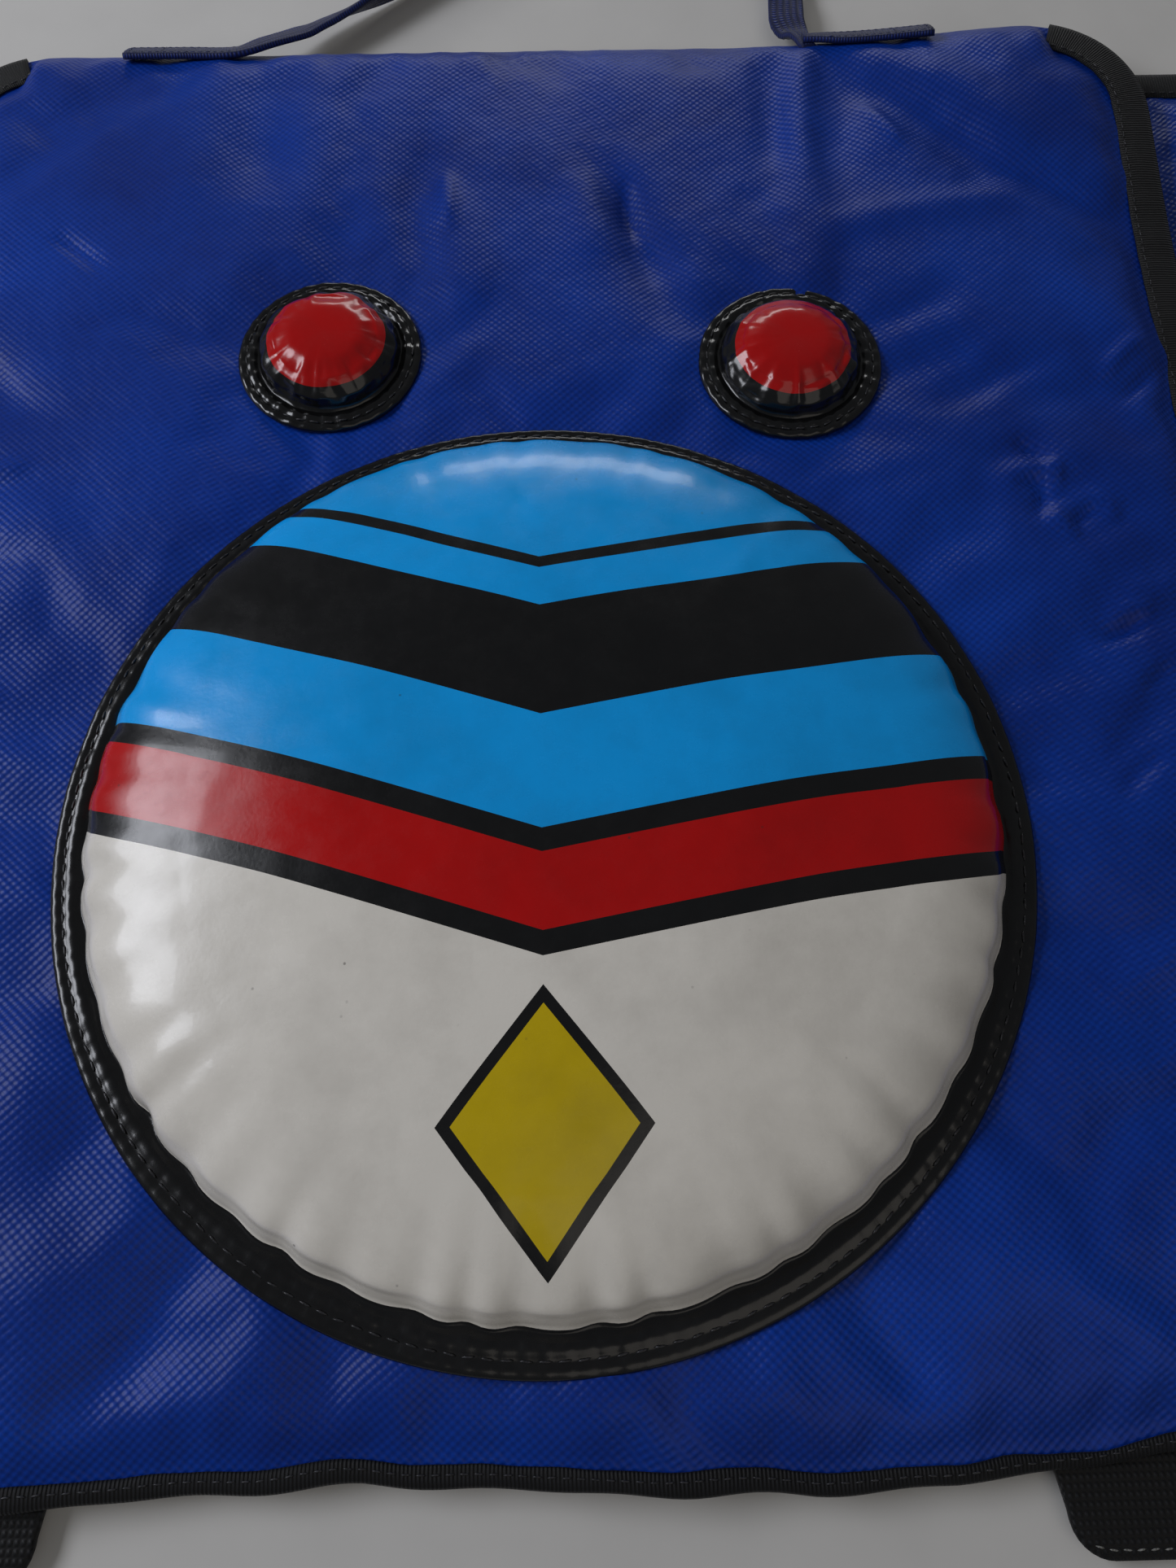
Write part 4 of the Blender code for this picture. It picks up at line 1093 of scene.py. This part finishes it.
def stitch(name, lines, pitch, length, radius, thread):
    """Running stitches along lines of points in millimetres. A line whose ends meet is
    closed."""
    points, edges = [], []
    for line in lines:
        line = np.asarray(line, float)
        closed = np.linalg.norm(line[0] - line[-1]) < 1e-6
        body = line[:-1] if closed else line
        start = len(points)
        points += (body * MM).tolist()
        edges += [(start + i, start + i + 1) for i in range(len(body) - 1)]
        if closed:
            edges.append((start + len(body) - 1, start))
    mesh = bpy.data.meshes.new(name)
    mesh.from_pydata(points, edges, [])
    piece = bpy.data.objects.new(name, mesh)
    bpy.context.scene.collection.objects.link(piece)
    modifier = piece.modifiers.new("stitches", "NODES")
    modifier.node_group = RUNNING_STITCH
    values = {"Pitch": pitch * MM, "Stitch length": length * MM, "Thread radius": radius * MM,
              "Thread": thread}
    for item in RUNNING_STITCH.interface.items_tree:
        if item.in_out == "INPUT" and item.name in values:
            modifier[item.identifier] = values[item.name]
    return bake(piece)


# ---------------------------------------------------------------- camera, light and floor
def set_the_scene():
    """The camera, the studio's lights and its floor."""
    scene = bpy.context.scene
    # the camera looks down at a point on the big target, leaning back from straight above
    yaw, tilt, distance = 0.0232257, 0.354805, 307.73
    toward = Vector((11.38, -56.10, 13.3))
    along = Vector((math.sin(yaw), math.cos(yaw), 0))
    upward = Vector((0, 0, 1))
    eye = toward - along * distance * math.sin(tilt) + upward * distance * math.cos(tilt)
    data = bpy.data.cameras.new("view")
    data.lens, data.sensor_width, data.sensor_fit = 27.03, 36.0, "AUTO"
    data.clip_start, data.clip_end = 0.01, 10.0
    camera = bpy.data.objects.new("view", data)
    back = (eye - toward).normalized()
    right = along.cross(upward).normalized()
    up = back.cross(right)
    camera.matrix_world = Matrix((
        (right.x, up.x, back.x, eye.x * MM), (right.y, up.y, back.y, eye.y * MM),
        (right.z, up.z, back.z, eye.z * MM), (0, 0, 0, 1)))
    scene.collection.objects.link(camera)
    scene.camera = camera

    world = bpy.data.worlds.new("studio")
    world.use_nodes = True
    world.node_tree.nodes.clear()
    sky = add(world.node_tree, "ShaderNodeBackground", {
        "Color": colour("#E4E8EE"), "Strength": 0.14})
    add(world.node_tree, "ShaderNodeOutputWorld", {"Surface": sky.outputs[0]})
    scene.world = world
    scene.view_settings.view_transform = "Standard"

    # a large window-like light on the left, a small one above and a weak fill
    lights = (
        ("window", (-0.95, 0.15, 0.75), (0.05, -0.05, 0.0), (0.7, 0.4), 8.0, "#F3F6FF"),
        ("overhead", (0.05, 1.6, 0.5), (0.0, 0.1, 0.0), (0.9, 0.25), 3.5, "#FFFFFF"),
        ("fill", (0.55, -0.9, 1.3), (0.0, -0.05, 0.0), (1.2, 1.2), 2.6, "#FFF6EA"),
    )
    for name, at, aim, (width, height), power, tint in lights:
        lamp = bpy.data.lights.new(name, "AREA")
        lamp.shape, lamp.size, lamp.size_y = "RECTANGLE", width, height
        lamp.energy, lamp.color = power, colour(tint)[:3]
        holder = bpy.data.objects.new(name, lamp)
        holder.location = at
        holder.rotation_euler = (Vector(aim) - Vector(at)).to_track_quat("-Z", "Y").to_euler()
        scene.collection.objects.link(holder)

    material, tree = new_material("pale_studio_floor")
    place = add(tree, "ShaderNodeTexCoord")
    grain = add(tree, "ShaderNodeTexNoise", {
        "Vector": place.outputs["Object"], "Scale": 30.0, "Detail": 5.0})
    tone = add(tree, "ShaderNodeValToRGB", {"Fac": grain.outputs[0]})
    paint_ramp(tone.color_ramp, [(0, "#C4C2BE"), (1, "#D2D0CC")])
    finish_material(material, {"Base Color": tone.outputs[0], "Roughness": 0.8})
    far, low = 3000, -0.4
    floor = make_piece("floor", [(-far, -far, low), (far, -far, low), (far, far, low),
                                 (-far, far, low)], [(0, 1, 2, 3)], [(0, 0)] * 4, material)


# ---------------------------------------------------------------- making the protector
def front_reach(x, y, out_x, out_y):
    """How far in the front panel's tape covers: 11.4 mm at the sides, and only a few
    along the bottom, where the cloth rolls over it."""
    bottom = smooth(-out_y, 0.55, 0.97)
    few = 4.0 + 0.9 * ripple(x, 0, 22, 4) - 1.4 * smooth(x, 50, 120)
    return 11.4 + (few - 11.4) * bottom


def make_front():
    """The front panel: its cover, lining, tapes and stitching."""
    panel = Panel(PANEL, PANEL_RADII, front_flange, front_slope, 1, True)
    cover = padded_cover("front_cover", panel, (SEAM_Z, FACE_Z, BACK_Z), CREASES)
    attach(cover, "front_panel")
    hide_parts("front_shell", "front_foam")

    back = lining_sheet("front_back_lining", panel, LINING_SEAM_Z, LINING_Z)
    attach(back, "front_panel")
    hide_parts("front_lining")

    path = outline_path(*PANEL, PANEL_RADII)
    bound = [p for p in path if not (p[1] > 200 and abs(p[0]) < FOLD_END)]
    bound = [(*map(float, settle(p[0], p[1])), p[2], p[3]) for p in bound]
    tape = binding_tape("front_edge_tape", bound, SEAM_Z, front_reach, 60, curl)
    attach(tape, "front_panel")
    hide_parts("front_binding")

    x = np.linspace(-FOLD_END - 4, FOLD_END + 4, 150)
    y = 218.3 + 0.35 * ripple(x, 0, 16, 71) - 1.6 * smooth(np.abs(x), 160, 177)
    rows = []
    for i in range(len(x)):
        lift = float(curl(x[i], CURL_Y))
        rows.append([(x[i], y[i] - inset, 5.05 + high + lift) for inset, high in (
            (0, 0.2), (0.1, 0.5), (0.5, 0.62), (8.2, 0.62), (8.6, 0.3), (8.2, 0.0), (0.5, 0.0))])
    top_tape = swept("top_edge_tape", rows, x, [0, 0.3, 0.8, 8.5, 9, 9.4, 17], BLACK_TAPE)
    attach(top_tape, "front_panel")
    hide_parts("top_binding")

    # a row of stitching holds the tape near its inner edge
    skin = [surface(tape), surface(cover)]
    line_x, line_y, out_x, out_y = np.array(bound).T
    inset = np.maximum(front_reach(line_x, line_y, out_x, out_y) - 1.9, 1.2)
    seam_x, seam_y = line_x - out_x * inset, line_y - out_y * inset
    seam_z = drop_on(skin, seam_x, seam_y, 0.02)
    seams = stitch("front_tape_stitches", [np.stack([seam_x, seam_y, seam_z], axis=-1)],
                   3.2, 2.4, 0.26, BLACK_THREAD)
    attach(seams, "front_panel")


def make_wing(side, body):
    """A side wing and the tape that joins it to the panel. side is 1 for the wearer's
    left and -1 for the right."""
    low, high = sorted((side * WING_X[0], side * WING_X[1]))
    outline = (low, high, *WING_Y)
    radii = (30.0, 5.0, 5.0, 30.0) if side < 0 else (5.0, 30.0, 30.0, 5.0)
    creases = (
        ((side * 240, 176), (side * 262, 132), 6.0, -1.0),
        ((side * 282, 150), (side * 258, 96), 7.0, 0.9),
        ((side * 236, 60), (side * 276, 34), 6.0, -1.0),
        ((side * 288, 10), (side * 250, -24), 7.0, 1.0),
        ((side * 236, -70), (side * 280, -96), 6.0, -0.9),
        ((side * 262, -120), (side * 240, -164), 7.0, 0.9),
    )
    panel = Panel(outline, radii, wing_flange, wing_slope, 100 + 10 * side, False)
    cover = padded_cover(body + "_cover", panel, (WING_SEAM_Z, WING_FACE_Z, WING_BACK_Z),
                         creases)
    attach(cover, body)
    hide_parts(body + "_shell", body + "_foam")
    back = lining_sheet(body + "_back_lining", panel, WING_LINING_SEAM_Z, LINING_Z)
    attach(back, body)
    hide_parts(body + "_lining")

    path = outline_path(*outline, radii)
    inner_x = side * WING_X[0]
    start = next(i for i, p in enumerate(path) if abs(p[0] - inner_x) < 1 and abs(p[1]) < 100)
    turned = path[start:] + path[:start]
    bound = [p for p in turned if abs(p[0] - inner_x) > 6.5]
    tape = binding_tape(body + "_edge_tape", bound, WING_SEAM_Z,
                        lambda x, y, out_x, out_y: np.full_like(x, WING_REACH), 80 + side)
    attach(tape, body)
    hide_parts(body + "_binding")
    line_x, line_y, out_x, out_y = np.array(bound).T
    inset = WING_REACH - 2
    seam_x, seam_y = line_x - out_x * inset, line_y - out_y * inset
    seam_z = drop_on([surface(tape), surface(cover)], seam_x, seam_y, 0.02)
    seams = stitch(body + "_tape_stitches", [np.stack([seam_x, seam_y, seam_z], axis=-1)],
                   3.2, 2.4, 0.26, BLACK_THREAD)
    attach(seams, body)

    # a narrow tape joins the wing to the panel along the fold line
    y = np.linspace(WING_Y[0] + 7, WING_Y[1] - 7, 150)
    across = [(-6.2, 4.72), (-4, 4.72), (-2, 4.72), (0, 4.7), (1.5, 4.55), (3, 4.35),
              (4.5, 4.2), (7, 4.15), (9.5, 4.15)]
    section = [(a, z) for a, z in across] + [(a, z - 0.5) for a, z in across[::-1]]
    rows = [[(side * (HINGE_X + a), v, z) for a, z in section] for v in y]
    web = swept(body + "_hinge_tape", rows, y, [a for a, _ in section], BLACK_TAPE)
    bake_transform(web)


def make_targets():
    """The three puffed targets and the stitching round each."""
    big = target("big_target", TARGET_CENTRE, TARGET_RADIUS, PUFF_RADIUS, PUFF_HEIGHT,
                 (15.0, 3.2), PRINTED, 480, 5)
    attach(big, "front_panel")
    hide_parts("target_backing", "target_foam", "target_cover")
    rims = [(TARGET_CENTRE, TARGET_RADIUS, PUFF_RADIUS, surface(big), "big_target")]
    for side, centre in SMALL_CENTRES.items():
        name = f"small_target_{side}_puff"
        small = target(name, centre, SMALL_RADIUS, SMALL_PUFF_RADIUS, SMALL_PUFF_HEIGHT,
                       (9.0, 0.5), RED_VINYL, 180, 6 if side == "left" else 9)
        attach(small, "front_panel")
        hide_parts(f"small_target_{side}_backing", f"small_target_{side}_foam",
                    f"small_target_{side}_cover")
        rims.append((centre, SMALL_RADIUS, SMALL_PUFF_RADIUS, surface(small), name))
    for centre, radius, puff_radius, skin, name in rims:
        seam = puff_radius + (radius - puff_radius) * RIM_SEAM
        angle = np.linspace(0, 2 * math.pi, int(seam * 2 * math.pi / 1.1) + 1)
        x = centre[0] + seam * np.cos(angle)
        y = centre[1] + seam * np.sin(angle) + PUFF_LEAN * radius * (1 - RIM_SEAM)
        z = drop_on([skin], x, y, 0.1)
        line = np.stack([x, y, z], axis=-1)
        line[-1] = line[0]
        threads = stitch(name + "_stitches", [line], 4.3, 3.3, 0.34, BLACK_THREAD)
        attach(threads, "front_panel")


def make_straps():
    """The neck strap, the waist straps with their patches, and the stitching on them."""
    stations, run = path_through(*neck_route())
    gathered = 1 - 0.62 * smooth(run, run[-1] - 26, run[-1] - 5)
    loop = strap("neck_strap_webbing", stations, run, STRAP_WIDTH, STRAP_THICKNESS, STRAP, 40,
                 gathered)
    flat = math.pi / 2 - TAB_LEAN
    lay = [((x, TAB_Y, TAB_Z + up + float(curl(x, CURL_Y))), flat)
           for x, up in ((90.5, 1.1), (97, 0.9), (104, 0.3), (115, 0), (134, 0))]
    tab_stations, tab_run = path_through([p for p, _ in lay], [t for _, t in lay])
    tab = strap("neck_strap_left_tab", tab_stations, tab_run, STRAP_WIDTH, STRAP_THICKNESS,
                STRAP, 46, 0.45 + 0.55 * smooth(tab_run, 0, 13))
    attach(tab, "front_panel")
    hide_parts("neck_strap_end_left")
    skins = [surface(loop), surface(tab)]
    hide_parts("neck_strap", "neck_strap_end_right")
    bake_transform(loop)
    boxes = []
    for a, b in ((-137.5, -103.5), (99.5, 132.5)):
        for offset in (-4.2, 4.2):
            x = np.linspace(a, b, 30)
            y = np.full_like(x, TAB_Y + offset * math.cos(TAB_LEAN))
            boxes.append(np.stack([x, y, drop_on(skins, x, y, 0.05)], axis=-1))
        for end in (a, a + 11) if a < 0 else (b, b - 11):
            y = TAB_Y + np.linspace(-4.2, 4.2, 8) * math.cos(TAB_LEAN)
            x = np.full_like(y, end)
            boxes.append(np.stack([x, y, drop_on(skins, x, y, 0.05)], axis=-1))
    threads = stitch("neck_tab_stitches", boxes, 2.3, 1.8, 0.24, BLUE_THREAD)
    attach(threads, "front_panel")

    for side, name, patch_name, below, patch_material, patch_slot in (
        (1, "waist_strap_left", "hook_patch", True, HOOKS, "hook_nylon"),
        (-1, "waist_strap_right", "loop_patch", False, LOOPS, "loop_nylon"),
    ):
        piece, patch, (x, low, high) = waist_strap(
            side, name + "_webbing", patch_name + "_tape", below, patch_material)
        skin = [surface(piece), surface(patch)]
        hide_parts(name)
        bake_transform(piece)
        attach(patch, name)
        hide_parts(patch_name)
        sewn = (np.abs(x) > WAIST_ROOT_X + 4) & (np.abs(x) < WAIST_ROOT_X + WAIST_LENGTH - 2.5)
        lines = []
        for edge, inward in ((low, 2.2), (high, -2.2)):
            a, b = x[sewn], edge[sewn] + inward
            lines.append(np.stack([a, b, drop_on(skin, a, b, 0.05)], axis=-1))
        threads = stitch(name + "_stitches", lines, 3.0, 2.2, 0.24, GREY_THREAD)
        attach(threads, name)


set_the_scene()
make_front()
make_wing(1, "wing_left")
make_wing(-1, "wing_right")
make_targets()
make_straps()
